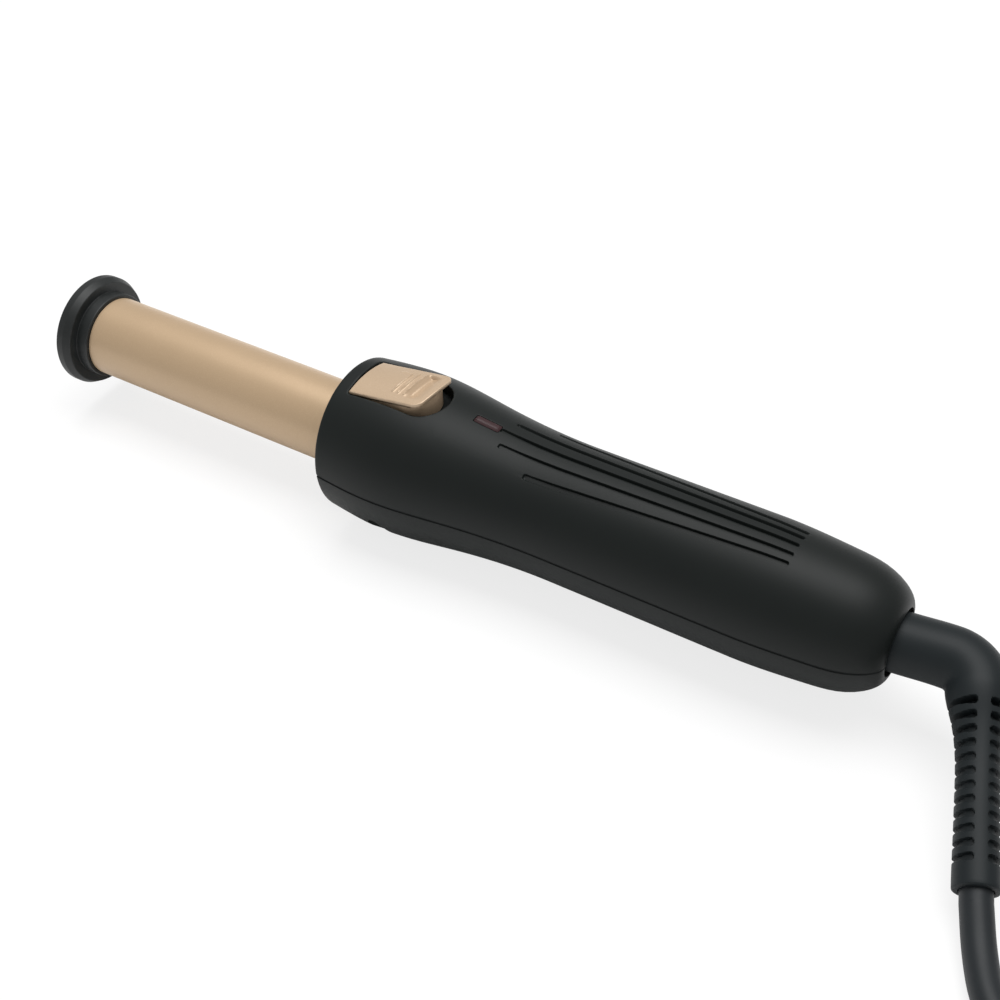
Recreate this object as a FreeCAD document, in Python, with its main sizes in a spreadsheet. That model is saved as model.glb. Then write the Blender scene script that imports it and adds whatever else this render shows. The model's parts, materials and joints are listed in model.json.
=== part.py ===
"""Curling wand with a short heated barrel, a two-shell handle, a slide switch and a swivelling mains lead.

The construction runs along one axis. Stations are distances along it from the flat end of the tip
cap, and every piece is drawn round that axis first. Each finished piece then gets a Placement that
puts the middle of the wand over the origin and the widest point of the handle on the ground plane.
"""
import FreeCAD, Part
import math
import os
import re

import Sketcher
from FreeCAD import Placement, Rotation, Vector

doc = FreeCAD.newDocument("curling_wand")

# ---------------------------------------------------------------- driving dimensions
SIZES = {
    # tip cap
    "tip_disc_radius": 13.0, "tip_disc_thick": 3.5, "tip_rim_thick": 1.1, "tip_bevel_radius": 11.2,
    "tip_edge_round": 0.35, "tip_collar_radius": 10.3,
    "tip_collar_length": 3.25, "tip_spigot_length": 9.0, "tip_spigot_wall": 1.6, "mica_thick": 0.5,
    # barrel and heater
    "barrel_radius": 9.5, "barrel_wall": 1.0, "barrel_shown": 72.4, "barrel_inside": 20.0,
    "spreader_length": 50.0, "element_length": 44.0, "element_width": 12.0, "element_thick": 2.4,
    "electrode_thick": 0.3, "film_thick": 0.35, "tab_length": 5.0, "fuse_radius": 1.6, "fuse_length": 9.0,
    "fuse_gap": 2.0, "lead_radius": 0.8, "lead_offset": 4.4, "lead_rise_start": 11.0, "lead_rise_end": 5.0,
    "lead_on_board": 7.0,
    # handle outline
    "handle_length": 127.4, "front_radius": 17.2, "bulge_radius": 18.3, "bulge_from_front": 15.0,
    "slope_radius": 16.5, "slope_from_front": 33.0, "waist_radius": 14.9, "waist_from_front": 56.0,
    "grip_radius": 15.0, "grip_from_front": 98.0, "tail_radius": 14.1, "tail_from_rear": 13.9,
    "crown_radius": 11.3, "crown_from_rear": 3.1,
    # handle shells
    "shell_wall": 2.2, "front_wall": 3.4, "front_slant": 3.3, "rear_wall": 6.4, "rear_hole_radius": 7.2,
    "rear_hole_depth": 2.4, "parting_bevel": 0.25, "holder_rib_thick": 2.0,
    # shell screws
    "front_screw_from_front": 15.0, "front_screw_offset": 14.3, "rear_screw_from_front": 88.0,
    "boss_radius": 3.2, "screw_head_radius": 2.1, "screw_head_thick": 1.8, "screw_shank_radius": 1.1,
    "screw_shank_length": 9.0, "head_seat_depth": 12.9, "slot_in_head": 3.0, "slot_in_head_width": 0.5,
    "slot_in_head_depth": 0.9,
    # grip grooves
    "groove_width": 1.1, "groove_depth": 0.7, "groove_end_from_front": 105.2,
    "inner_groove_from_front": 39.9, "outer_groove_from_front": 48.0, "inner_groove_offset": 3.85,
    "inner_groove_taper": 1.2, "outer_groove_offset": 7.55, "outer_groove_taper": 2.72,
    # front ring and barrel holder
    "ring_wall": 2.0, "ring_proud": 0.6, "ring_flange_radius": 12.7, "ring_flange_thick": 1.2,
    "holder_wall": 1.0, "holder_grip": 6.0, "holder_end_thick": 2.8, "holder_mouth_radius": 7.0,
    # slide switch
    "knob_from_front": 4.0, "knob_length": 18.8, "knob_half_width": 5.95, "knob_front_radius": 17.65,
    "knob_lip_radius": 20.2, "knob_corner_round": 4.4, "knob_inset": 0.25,
    "knob_lip_thick": 1.3, "scoop_radius": 9.0, "scoop_depth": 1.5, "scoop_from_lip": 4.6,
    "slider_clearance": 0.6, "pocket_floor_thick": 1.2, "pocket_gap": 0.5, "pocket_wall": 1.8,
    "switch_travel": 2.0, "stem_width": 4.4, "stem_length": 8.0, "stem_from_knob_front": 4.0,
    "slider_thick": 1.4, "slider_gap": 0.4, "slider_length": 14.5, "slider_half_width": 7.5,
    "arm_width": 6.0, "arm_length": 8.7, "fork_thick": 1.1, "fork_drop": 4.2, "lever_length": 1.8,
    "lever_width": 3.2, "lever_height": 3.0, "switch_length": 7.6, "switch_width": 7.2,
    "switch_height": 5.6,
    # circuit board
    "board_from_front": 23.6, "board_length": 52.0, "board_width": 19.0, "board_thick": 1.6,
    "board_bottom": -1.0, "post_radius": 2.2, "post_from_board_end": 5.6, "post_spacing": 24.0,
    "board_screw_radius": 0.9, "board_screw_head_radius": 1.9, "board_screw_head_thick": 1.2,
    "board_screw_length": 6.0, "capacitor_length": 12.0, "capacitor_width": 5.0, "capacitor_height": 9.0,
    "resistor_radius": 1.6, "resistor_length": 7.0, "component_gap": 1.0,
    # indicator
    "lens_from_front": 32.0, "lens_length": 6.2, "lens_width": 2.2, "lens_bottom": 12.4, "lens_flange": 0.9,
    "lens_flange_thick": 0.8, "lens_recess": 0.15, "led_radius": 1.5, "led_height": 4.4, "led_gap": 0.3,
    "led_leg": 0.5, "led_leg_spacing": 1.6,
    # cord swivel
    "bush_wall": 2.4, "neck_radius": 6.15, "running_gap": 0.05, "flange_radius": 8.3, "flange_thick": 1.8,
    "flange_gap": 0.3, "core_radius": 4.6, "core_length": 14.0, "slip_ring_thick": 1.0,
    "slip_ring_width": 2.6, "slip_ring_inset": 2.4, "slip_ring_spacing": 5.6, "contact_thick": 0.4,
    "contact_inset": 1.0, "contact_block_height": 3.2, "contact_block_width": 12.0,
    # cord boot
    "stub_shown": 15.3, "elbow_radius": 9.5, "elbow_run": 0.5, "tail_heading": -68.0, "tail_fall": 17.0,
    "tail_length": 42.0, "tail_end_radius": 4.3, "tail_waist_radius": 4.6, "tail_taper_run": 14.0,
    "slot_count": 12.0, "slot_pitch": 2.75, "slot_width": 1.2,
    "slot_from_elbow": 8.2, "spine_width": 2.4, "web_width": 5.6,
    # cord and plug
    "cord_radius": 3.0, "cord_gap": 0.3, "coil_inner_radius": 20.0, "coil_outer_radius": 44.0,
    "coil_height": 12.0, "coil_lift": 1.0, "coil_web": 0.6, "tie_width": 9.0, "tie_thick": 0.8,
    "tie_gap": 0.2, "tie_angle": 205.0, "plug_width": 35.3, "plug_thick": 16.0, "plug_length": 34.0,
    "plug_round": 6.0, "plug_relief_length": 22.0, "plug_relief_radius": 5.0, "pin_radius": 2.0,
    "pin_length": 19.0, "pin_spacing": 18.6, "pin_embed": 8.0, "pin_tip_round": 1.4,
    "pin_root_radius": 2.2, "last_run": 4.0, "plug_aside": 50.0, "end_turn": 35.0, "end_bend": 24.0,
    # fits
    "slip_gap": 0.1, "clear_gap": 0.3, "overshoot": 1.0,
}
sheet = doc.addObject("Spreadsheet::Sheet", "Sizes")
for row, (alias, value) in enumerate(SIZES.items(), 1):
    sheet.set(f"A{row}", alias)
    sheet.set(f"B{row}", str(value))
    sheet.setAlias(f"B{row}", alias)
doc.recompute()

# Stations and radii that follow from the driving dimensions, kept in one variable set.
STATIONS = {
    "barrel_end": "tip_disc_thick + tip_collar_length",
    "front": "barrel_end + barrel_shown",
    "rear": "front + handle_length",
    "barrel_bore": "barrel_radius - barrel_wall",
    "ring_inner": "barrel_radius + slip_gap",
    "ring_outer": "ring_inner + ring_wall",
    "holder_start": "front + barrel_inside - holder_grip",
    "holder_end": "front + barrel_inside + slip_gap + holder_end_thick",
    "holder_radius": "ring_inner + holder_wall",
    "heater_start": "barrel_end + tip_spigot_length + mica_thick + clear_gap",
    "element_start": "heater_start + (spreader_length - element_length) / 2",
    "stack_half": "element_thick / 2 + electrode_thick + film_thick",
    "knob_front": "front + knob_from_front",
    "knob_rear": "knob_front + knob_length",
    "pocket_half_width": "knob_half_width + pocket_gap",
    "pocket_front": "knob_front - pocket_gap",
    "pocket_rear": "knob_rear + switch_travel + pocket_gap",
    "pocket_under": "holder_radius + slider_clearance + slider_thick + slider_gap",
    "pocket_floor": "pocket_under + pocket_floor_thick",
    "knob_bottom": "pocket_floor + clear_gap",
    "stem_front": "knob_front + stem_from_knob_front",
    "slider_top": "pocket_under - slider_gap",
    "slider_front": "stem_front - (slider_length - stem_length) / 2",
    "arm_rear": "slider_front + slider_length + arm_length",
    "board_top": "board_bottom + board_thick",
    "first_post": "front + board_from_front + board_length - post_from_board_end - post_spacing",
    "lever_front": "arm_rear - fork_thick - clear_gap - lever_length",
    "switch_top": "board_top + switch_height",
    "lens_front": "front + lens_from_front",
    "bush_end": "rear - rear_hole_depth",
    "bush_start": "rear - rear_wall",
    "bush_inner": "neck_radius + running_gap",
    "bush_outer": "bush_inner + bush_wall",
    "flange_start": "bush_start - flange_gap - flange_thick",
    "core_start": "flange_start - core_length",
    "slip_ring_outer": "core_radius + slip_ring_thick",
    "elbow": "rear + stub_shown",
    "seat_under": "bulge_radius - head_seat_depth",
}
stations = doc.addObject("App::VarSet", "Stations")


def formula(text):
    """Point every size name in a formula at its cell, and every station name at the variable set."""
    def full(match):
        name = match.group(0)
        if name in SIZES:
            return f"Sizes.{name}"
        return f"Stations.{name}" if name in STATIONS else name
    return re.sub(r"[a-z][a-z_]*", full, str(text))


for name, rule in STATIONS.items():
    stations.addProperty("App::PropertyFloat", name, "Stations", "")
for name, rule in STATIONS.items():
    stations.setExpression(name, formula(rule))
doc.recompute()


def size(name):
    """The present value of a size or a station, for shapes that are made in code."""
    return float(sheet.get(name) if name in SIZES else getattr(stations, name))


# ---------------------------------------------------------------- helpers
ALONG_X = Rotation(Vector(0, 1, 0), 90)
ALONG_Y = Rotation(Vector(1, 0, 0), -90)
ALONG_Z = Rotation()
PLACES = {}
PIECES = []


def bind(thing, **rules):
    for prop, rule in rules.items():
        thing.setExpression(prop.replace("__", "."), formula(rule))


def put(thing, x="0", y="0", z="0", turn=ALONG_Z):
    thing.Placement = Placement(Vector(), turn)
    PLACES[thing.Name] = (x, y, z)
    bind(thing, Placement__Base__x=x, Placement__Base__y=y, Placement__Base__z=z)
    return thing


def piece(thing, label):
    """A finished piece: the wand's middle goes over the origin and the handle's widest point on the ground."""
    x, y, z = PLACES.get(thing.Name, ("0", "0", "0"))
    bind(thing, Placement__Base__x=f"({x}) - rear / 2", Placement__Base__y=y,
         Placement__Base__z=f"({z}) + bulge_radius")
    thing.Label = label
    PIECES.append(thing)
    return thing


def cylinder(name, radius, length, x="0", y="0", z="0", turn=ALONG_X):
    solid = doc.addObject("Part::Cylinder", name)
    bind(solid, Radius=radius, Height=length)
    return put(solid, x, y, z, turn)


def box(name, length, width, height, x="0", z="0", y=None):
    """A block that starts at station x and height z and is centred across the axis unless y is given."""
    solid = doc.addObject("Part::Box", name)
    bind(solid, Length=length, Width=width, Height=height)
    return put(solid, x, f"-({width}) / 2" if y is None else y, z)


def cone(name, radius, end_radius, length, x="0", y="0", z="0", turn=ALONG_X):
    solid = doc.addObject("Part::Cone", name)
    bind(solid, Radius1=radius, Radius2=end_radius, Height=length)
    return put(solid, x, y, z, turn)


def cut(name, base, *tools):
    for count, tool in enumerate(tools):
        last = count == len(tools) - 1
        step = doc.addObject("Part::Cut", name if last else f"{name}Step{count}")
        step.Base, step.Tool = base, tool
        base = step
    return base


def fuse(name, *solids):
    joined = doc.addObject("Part::MultiFuse", name)
    joined.Shapes = list(solids)
    joined.Refine = True
    return joined


def common(name, base, tool):
    shared = doc.addObject("Part::Common", name)
    shared.Base, shared.Tool = base, tool
    return shared


def made(name, shape):
    """A Part::Feature for a free form that no primitive or sketch gives."""
    feature = doc.addObject("Part::Feature", name)
    feature.Shape = shape
    return feature


def outline_sketch(body, name, points):
    """A closed outline in the body's XY plane whose corners are bound to formulas."""
    sketch = body.newObject("Sketcher::SketchObject", name)
    plane = [feature for feature in body.Origin.OriginFeatures if feature.Role == "XY_Plane"][0]
    sketch.AttachmentSupport = [(plane, "")]
    sketch.MapMode = "FlatFace"
    count = len(points)
    around = [2 * math.pi * corner / count for corner in range(count)]
    corners = [Vector(math.cos(angle) + 2, math.sin(angle) + 2, 0) for angle in around]
    for side in range(count):
        sketch.addGeometry(Part.LineSegment(corners[side], corners[(side + 1) % count]), False)
    for side in range(count):
        sketch.addConstraint(Sketcher.Constraint("Coincident", side, 2, (side + 1) % count, 1))
    for corner, (x, y) in enumerate(points):
        for kind, rule, axis in (("DistanceX", x, -2), ("DistanceY", y, -1)):
            if rule == "0":
                sketch.addConstraint(Sketcher.Constraint("PointOnObject", corner, 1, axis))
            else:
                number = sketch.addConstraint(Sketcher.Constraint(kind, -1, 1, corner, 1, 1.0))
                sketch.setExpression(f"Constraints[{number}]", formula(rule))
    return sketch


def turned(name, points):
    """A body of revolution round the axis, from an outline of (station, radius) corners."""
    body = doc.addObject("PartDesign::Body", name)
    sketch = outline_sketch(body, f"{name}Outline", points)
    turn = body.newObject("PartDesign::Revolution", f"{name}Turned")
    turn.Profile = sketch
    turn.ReferenceAxis = (sketch, ["H_Axis"])
    turn.Angle = 360
    return body


def rounded(name, base, radius, picked):
    """A Part::Fillet on the edges that picked(edge) chooses."""
    doc.recompute()
    fillet = doc.addObject("Part::Fillet", name)
    fillet.Base = base
    numbers = [number for number, edge in enumerate(base.Shape.Edges, 1) if picked(edge)]
    assert numbers, f"{name} found no edge to round"
    fillet.Edges = [(number, radius, radius) for number in numbers]
    return fillet


def bent_wire(points, radii=None):
    """Straight runs through the points, joined by tangent arcs, and the radius of each arc.

    An arc takes 0.45 of the shorter run beside it unless its radius is given.
    """
    edges, used, start = [], [], points[0]
    for number in range(1, len(points) - 1):
        before, corner, after = points[number - 1:number + 2]
        into, out = (corner - before).normalize(), (after - corner).normalize()
        half_turn = into.getAngle(out) / 2
        if radii:
            radius = radii[number - 1]
        else:
            radius = 0.45 * min((corner - before).Length, (after - corner).Length) / math.tan(half_turn)
        reach = radius * math.tan(half_turn)
        arc_start, arc_end = corner - into * reach, corner + out * reach
        inward = (out - into).normalize()
        middle = corner + inward * (radius / math.cos(half_turn) - radius)
        edges.append(Part.LineSegment(start, arc_start).toShape())
        edges.append(Part.Arc(arc_start, middle, arc_end).toShape())
        used.append(radius)
        start = arc_end
    edges.append(Part.LineSegment(start, points[-1]).toShape())
    return Part.Wire(edges), used


def swept_round(wire, radius):
    """A round section carried along a wire of lines and arcs."""
    first = wire.Edges[0]
    start, along = first.valueAt(first.FirstParameter), first.tangentAt(first.FirstParameter)
    section = Part.Wire([Part.makeCircle(radius, start, along)])
    tube = wire.makePipeShell([section], True, True)
    error = abs(tube.Volume / (math.pi * radius ** 2 * wire.Length) - 1)
    assert error < 0.01, f"a tube's volume is off by {error:.3f}"
    return tube


def place_made(feature, label):
    """A free form that was drawn in the wand's own axis gets its Placement last."""
    feature.Placement = Placement(Vector(-size("rear") / 2, 0, size("bulge_radius")), ALONG_Z)
    feature.Label = label
    PIECES.append(feature)
    return feature


# ---------------------------------------------------------------- tip cap, barrel and heater
def tip_cap():
    body = turned("TipCap", [
        ("0", "0"), ("0", "tip_disc_radius"), ("tip_rim_thick", "tip_disc_radius"),
        ("tip_disc_thick", "tip_bevel_radius"), ("tip_disc_thick", "tip_collar_radius"),
        ("barrel_end", "tip_collar_radius"),
        ("barrel_end", "barrel_bore - slip_gap"), ("barrel_end + tip_spigot_length",
                                                   "barrel_bore - slip_gap"),
        ("barrel_end + tip_spigot_length", "barrel_bore - slip_gap - tip_spigot_wall"),
        ("barrel_end", "barrel_bore - slip_gap - tip_spigot_wall"), ("barrel_end", "0"),
    ])
    rim = size("tip_disc_radius")
    cap = rounded("TipCapRound", body, size("tip_edge_round"),
                  lambda edge: hasattr(edge.Curve, "Radius") and abs(edge.Curve.Radius - rim) < 0.001)
    return piece(cap, "tip_cap")


def barrel():
    body = turned("Barrel", [
        ("barrel_end", "barrel_bore"), ("barrel_end", "barrel_radius"),
        ("front + barrel_inside", "barrel_radius"), ("front + barrel_inside", "barrel_bore"),
    ])
    return piece(body, "barrel_tube")


def heater():
    """A flat heating element between two electrodes and a film, pressed to the barrel by two half-round spreaders."""
    disc = cylinder("MicaDisc", "barrel_bore - slip_gap", "mica_thick", "barrel_end + tip_spigot_length")
    piece(disc, "mica_disc")
    for side, name in ((1, "upper"), (-1, "lower")):
        rod = cylinder(f"Spreader{name}Rod", "barrel_bore - slip_gap", "spreader_length", "heater_start")
        face = "stack_half" if side > 0 else "-stack_half - 2 * barrel_radius"
        keep = box(f"Spreader{name}Half", "spreader_length + 2 * overshoot", "2 * barrel_radius",
                   "2 * barrel_radius",
                   "heater_start - overshoot", face)
        piece(common(f"Spreader{name}", rod, keep), f"heat_spreader_{name}")
        low = "element_thick / 2" if side > 0 else "-element_thick / 2 - electrode_thick"
        plate = box(f"Electrode{name}", "element_length + tab_length", "element_width", "electrode_thick",
                    "element_start", low)
        piece(plate, f"electrode_{name}")
    piece(box("Element", "element_length", "element_width", "element_thick", "element_start",
              "-element_thick / 2"), "heating_element")
    outer = box("FilmOuter", "element_length", "element_width + 2 * film_thick", "2 * stack_half",
                "element_start", "-stack_half")
    inner = box("FilmInner", "element_length", "element_width", "2 * (stack_half - film_thick)",
                "element_start", "film_thick - stack_half")
    piece(cut("Film", outer, inner), "insulation_film")


def leads():
    """The fused live lead and the plain neutral lead between the heater and the board."""
    tab_end = size("element_start") + size("element_length") + size("tab_length")
    radius, side, low = size("lead_radius"), size("lead_offset"), -size("fuse_radius")
    fuse_start = tab_end + size("fuse_gap")
    fuse_body = cylinder("Fuse", "fuse_radius", "fuse_length",
                         "element_start + element_length + tab_length + fuse_gap", "lead_offset",
                         "-fuse_radius")
    piece(fuse_body, "thermal_fuse")

    board = size("front") + size("board_from_front")
    rest = size("board_top") + radius

    def to_board(start, side):
        points = [Vector(start, side, low), Vector(board - size("lead_rise_start"), side, low),
                  Vector(board - size("lead_rise_end"), side, rest),
                  Vector(board + size("lead_on_board"), side, rest)]
        return swept_round(bent_wire(points)[0], radius)

    to_fuse = swept_round(bent_wire([Vector(tab_end, side, low), Vector(fuse_start, side, low)])[0], radius)
    wires = [to_fuse, to_board(fuse_start + size("fuse_length"), side), to_board(tab_end, -side)]
    place_made(made("HeaterLeads", Part.makeCompound(wires)), "heater_leads")


# ---------------------------------------------------------------- handle
def handle_profile(inset, start, end):
    """The handle's outline between two stations, as one smooth curve drawn inset below the surface."""
    front, rear = size("front"), size("rear")
    knots = [
        (front, size("front_radius")), (front + size("bulge_from_front"), size("bulge_radius")),
        (front + size("slope_from_front"), size("slope_radius")),
        (front + size("waist_from_front"), size("waist_radius")),
        (front + size("grip_from_front"), size("grip_radius")),
        (rear - size("tail_from_rear"), size("tail_radius")),
        (rear - size("crown_from_rear"), size("crown_radius")),
        (rear, size("rear_hole_radius")),
    ]
    curve = Part.BSplineCurve()
    level, down = Vector(1, 0, 0), Vector(0, -1, 0)
    flat = {1, 3, 4}
    last = len(knots) - 1
    curve.interpolate(Points=[Vector(x, r, 0) for x, r in knots],
                      Tangents=[down if n == last else level for n in range(len(knots))],
                      TangentFlags=[n in flat or n == last for n in range(len(knots))])
    edge = curve.toShape()
    tall = 3 * size("bulge_radius")
    window = Part.makePlane(end - start, tall, Vector(start, 0, 0))
    closed = Part.Wire([edge, Part.makeLine(Vector(rear, knots[-1][1], 0), Vector(rear, 0, 0)),
                        Part.makeLine(Vector(rear, 0, 0), Vector(front, 0, 0)),
                        Part.makeLine(Vector(front, 0, 0), Vector(front, knots[0][1], 0))])
    face = Part.Face(closed)
    if inset:
        face = face.common(Part.Face(closed).translated(Vector(0, -inset, 0)))
    return face.common(window)


def form(name, inset, start, end, sweep=360):
    """The handle's solid of revolution; a sweep of 180 or -180 gives its upper or lower half."""
    face = handle_profile(inset, start, end)
    return made(name, face.revolve(Vector(), Vector(1, 0, 0), sweep))


def shell_half(name, side):
    """One half of the handle's wall, with the seats for the ring, the bush and the cord."""
    front, rear = size("front"), size("rear")
    outer = form(f"{name}Outer", 0, front, rear, 180 * side)
    hollow = form(f"{name}Hollow", size("shell_wall"), front + size("front_wall"), rear - size("rear_wall"))
    mouth = cylinder(f"{name}Mouth", "ring_outer + slip_gap", "front_wall + 2 * overshoot",
                     "front - overshoot")
    cord_hole = cylinder(f"{name}CordHole", "rear_hole_radius", "rear_wall + overshoot", "rear - rear_wall")
    seat = cylinder(f"{name}BushSeat", "bush_outer + slip_gap", "bush_end - bush_start + overshoot",
                    "bush_start - overshoot")
    return cut(name, outer, hollow, mouth, cord_hole, seat, front_wedge(f"{name}Front", 0))


def front_wedge(name, ahead):
    """What lies in front of the handle's front plane, which leans back towards the bottom."""
    top, low, wide = size("front_radius"), -size("bulge_radius") - size("overshoot"), 2 * size("bulge_radius")
    front = size("front") - ahead
    lean = (top - low) * math.tan(math.radians(size("front_slant")))
    corners = [(front - wide, low), (front + lean, low), (front, top), (front - wide, top),
               (front - wide, low)]
    side = Part.Face(Part.makePolygon([Vector(x, -wide, z) for x, z in corners]))
    return made(name, side.extrude(Vector(0, 2 * wide, 0)))


def screw_places():
    """Station and sideways offset of each shell screw."""
    return [("front + front_screw_from_front", "front_screw_offset"),
            ("front + front_screw_from_front", "-front_screw_offset"),
            ("front + rear_screw_from_front", "0")]


def board_posts():
    """Station of each post that the circuit board is screwed to."""
    return [f"first_post + {n} * post_spacing" for n in range(2)]


def seam(name, side):
    """The small step along the parting line, on one shell's edge."""
    band = box(f"{name}SeamBand", "handle_length", "3 * bulge_radius", "parting_bevel", "front",
               "0" if side > 0 else "-parting_bevel")
    return cut(f"{name}Seam", band, form(f"{name}SeamCore", size("parting_bevel"), size("front"),
                                         size("rear")))


def holder_rib(name, low, high):
    rib = box(f"{name}Block", "holder_rib_thick", "2 * bulge_radius", f"({high}) - ({low})",
              "holder_end - holder_end_thick - holder_rib_thick", low)
    ring = cylinder(f"{name}Seat", "holder_radius + slip_gap", "holder_rib_thick + 2 * overshoot",
                    "holder_end - holder_end_thick - holder_rib_thick - overshoot")
    return cut(name, rib, ring)


def trimmed(name, inner, side):
    """Inner work of a shell, cut off at its outer surface and at the parting plane."""
    bounds = form(f"{name}Bounds", size("shell_wall") / 2, size("front") + size("front_wall") / 2,
                  size("rear") - size("rear_wall") / 2, 180 * side)
    return common(name, inner, bounds)


def lower_shell():
    shell = shell_half("LowerWall", -1)
    work = [cylinder(f"LowerBoss{n}", "boss_radius", "bulge_radius", x, y, "-bulge_radius", ALONG_Z)
            for n, (x, y) in enumerate(screw_places())]
    work += [cylinder(f"BoardPost{n}", "post_radius", "bulge_radius + board_bottom", x, "0",
                      "-bulge_radius", ALONG_Z)
             for n, x in enumerate(board_posts())]
    work.append(holder_rib("LowerRib", "-bulge_radius", "-barrel_radius / 3"))
    body = fuse("LowerBody", shell, trimmed("LowerWork", fuse("LowerInside", *work), -1))
    holes = []
    for n, (x, y) in enumerate(screw_places()):
        holes.append(cylinder(f"HeadWell{n}", "screw_head_radius + clear_gap", "head_seat_depth",
                              x, y, "-bulge_radius", ALONG_Z))
        holes.append(cylinder(f"ShankHole{n}", "screw_shank_radius + slip_gap", "2 * bulge_radius",
                              x, y, "-bulge_radius", ALONG_Z))
    holes += [cylinder(f"PostHole{n}", "board_screw_radius", "board_screw_length", x, "0",
                       "board_bottom - board_screw_length", ALONG_Z) for n, x in enumerate(board_posts())]
    return piece(cut("LowerShell", body, fuse("LowerHoles", *holes), seam("Lower", -1)), "handle_lower_shell")


def pocket_plan(name, grow, low):
    """The plan of the switch pocket: straight sides and front, and a half-round rear end."""
    half = f"(pocket_half_width + {grow})"
    straight = box(f"{name}Straight", f"pocket_rear - pocket_front - {half} + {grow} * 2", f"2 * {half}",
                   "bulge_radius", f"pocket_front - {grow}", low)
    end = cylinder(f"{name}End", half, "bulge_radius", f"pocket_rear + {grow} - {half}", "0", low, ALONG_Z)
    return fuse(name, straight, end)


def groove_tools():
    """Five straight grooves that fan out towards the front, cut to one depth below the surface."""
    runs = [("front + lens_from_front + lens_length", "0", "0")]
    for side in (1, -1):
        runs.append(("front + inner_groove_from_front", f"{side} * inner_groove_offset",
                     f"{side} * inner_groove_taper"))
        runs.append(("front + outer_groove_from_front", f"{side} * outer_groove_offset",
                     f"{side} * outer_groove_taper"))
    bars = []
    for number, (start, offset, taper) in enumerate(runs):
        body = doc.addObject("PartDesign::Body", f"Groove{number}")
        end = "front + groove_end_from_front"
        sketch = outline_sketch(body, f"Groove{number}Plan", [
            (start, f"{offset} - groove_width / 2"), (end, f"{offset} - {taper} - groove_width / 2"),
            (end, f"{offset} - {taper} + groove_width / 2"), (start, f"{offset} + groove_width / 2"),
        ])
        pad = body.newObject("PartDesign::Pad", f"Groove{number}Pad")
        pad.Profile = sketch
        bind(pad, Length="2 * bulge_radius")
        bars.append(body)
    core = form("GrooveCore", size("groove_depth"), size("front"), size("rear"))
    return cut("Grooves", fuse("GrooveBars", *bars), core)


def upper_shell():
    shell = shell_half("UpperWall", 1)
    work = [cylinder(f"UpperBoss{n}", "boss_radius", "bulge_radius", x, y, "0", ALONG_Z)
            for n, (x, y) in enumerate(screw_places())]
    rib = cut("UpperRib", holder_rib("UpperRibRing", "barrel_radius / 3",
                                     "slider_top - slider_thick - slider_gap"),
              box("RibGap", "holder_rib_thick + 2 * overshoot", "2 * (slider_half_width + slider_gap)",
                  "bulge_radius", "holder_end - holder_end_thick - holder_rib_thick - overshoot", "0"))
    work += [rib, pocket_plan("PocketBlock", "pocket_wall", "pocket_under")]
    body = fuse("UpperBody", shell, trimmed("UpperWork", fuse("UpperInside", *work), 1))
    holes = [cylinder(f"UpperScrewHole{n}", "screw_shank_radius",
                      "screw_shank_length - seat_under + clear_gap",
                      x, y, "0", ALONG_Z) for n, (x, y) in enumerate(screw_places())]
    stem_slot = box("StemSlot", "stem_length + switch_travel + 2 * pocket_gap", "stem_width + 2 * slip_gap",
                    "bulge_radius", "stem_front - pocket_gap", "0")
    lens_hole = box("LensHole", "lens_length", "lens_width", "2 * bulge_radius", "lens_front", "0")
    openings = fuse("UpperOpenings", pocket_plan("Pocket", "0", "pocket_floor"), stem_slot, lens_hole, *holes)
    return piece(cut("UpperShell", body, openings, groove_tools(), seam("Upper", 1)), "handle_upper_shell")


def shell_screws():
    screws = []
    for n, (x, y) in enumerate(screw_places()):
        head = cylinder(f"ScrewHead{n}", "screw_head_radius", "screw_head_thick", x, y,
                        "-seat_under - screw_head_thick", ALONG_Z)
        shank = cylinder(f"ScrewShank{n}", "screw_shank_radius", "screw_shank_length", x, y,
                         "-seat_under", ALONG_Z)
        bars = []
        for way, (long, wide) in enumerate((("slot_in_head", "slot_in_head_width"),
                                            ("slot_in_head_width", "slot_in_head"))):
            bars.append(box(f"ScrewCross{n}{way}", long, wide, "slot_in_head_depth", f"{x} - {long} / 2",
                            "-seat_under - screw_head_thick", f"{y} - {wide} / 2"))
        screws.append(cut(f"Screw{n}", fuse(f"ScrewBlank{n}", head, shank), *bars))
    group = doc.addObject("Part::Compound", "ShellScrews")
    group.Links = screws
    return piece(group, "shell_screws")


# ---------------------------------------------------------------- front ring and barrel holder
def front_ring():
    ring = turned("FrontRingBlank", [
        ("front - ring_proud", "ring_inner"), ("front - ring_proud", "ring_outer"),
        ("front + front_wall", "ring_outer"), ("front + front_wall", "ring_flange_radius"),
        ("front + front_wall + ring_flange_thick", "ring_flange_radius"),
        ("front + front_wall + ring_flange_thick", "ring_inner"),
    ])
    return piece(cut("FrontRing", ring, front_wedge("FrontRingLean", size("ring_proud"))), "front_ring")


def barrel_holder():
    stop = "front + barrel_inside + slip_gap"
    return piece(turned("BarrelHolder", [
        ("holder_start", "ring_inner"), ("holder_start", "holder_radius"), ("holder_end", "holder_radius"),
        ("holder_end", "holder_mouth_radius"), (stop, "holder_mouth_radius"), (stop, "ring_inner"),
    ]), "barrel_holder")


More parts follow.
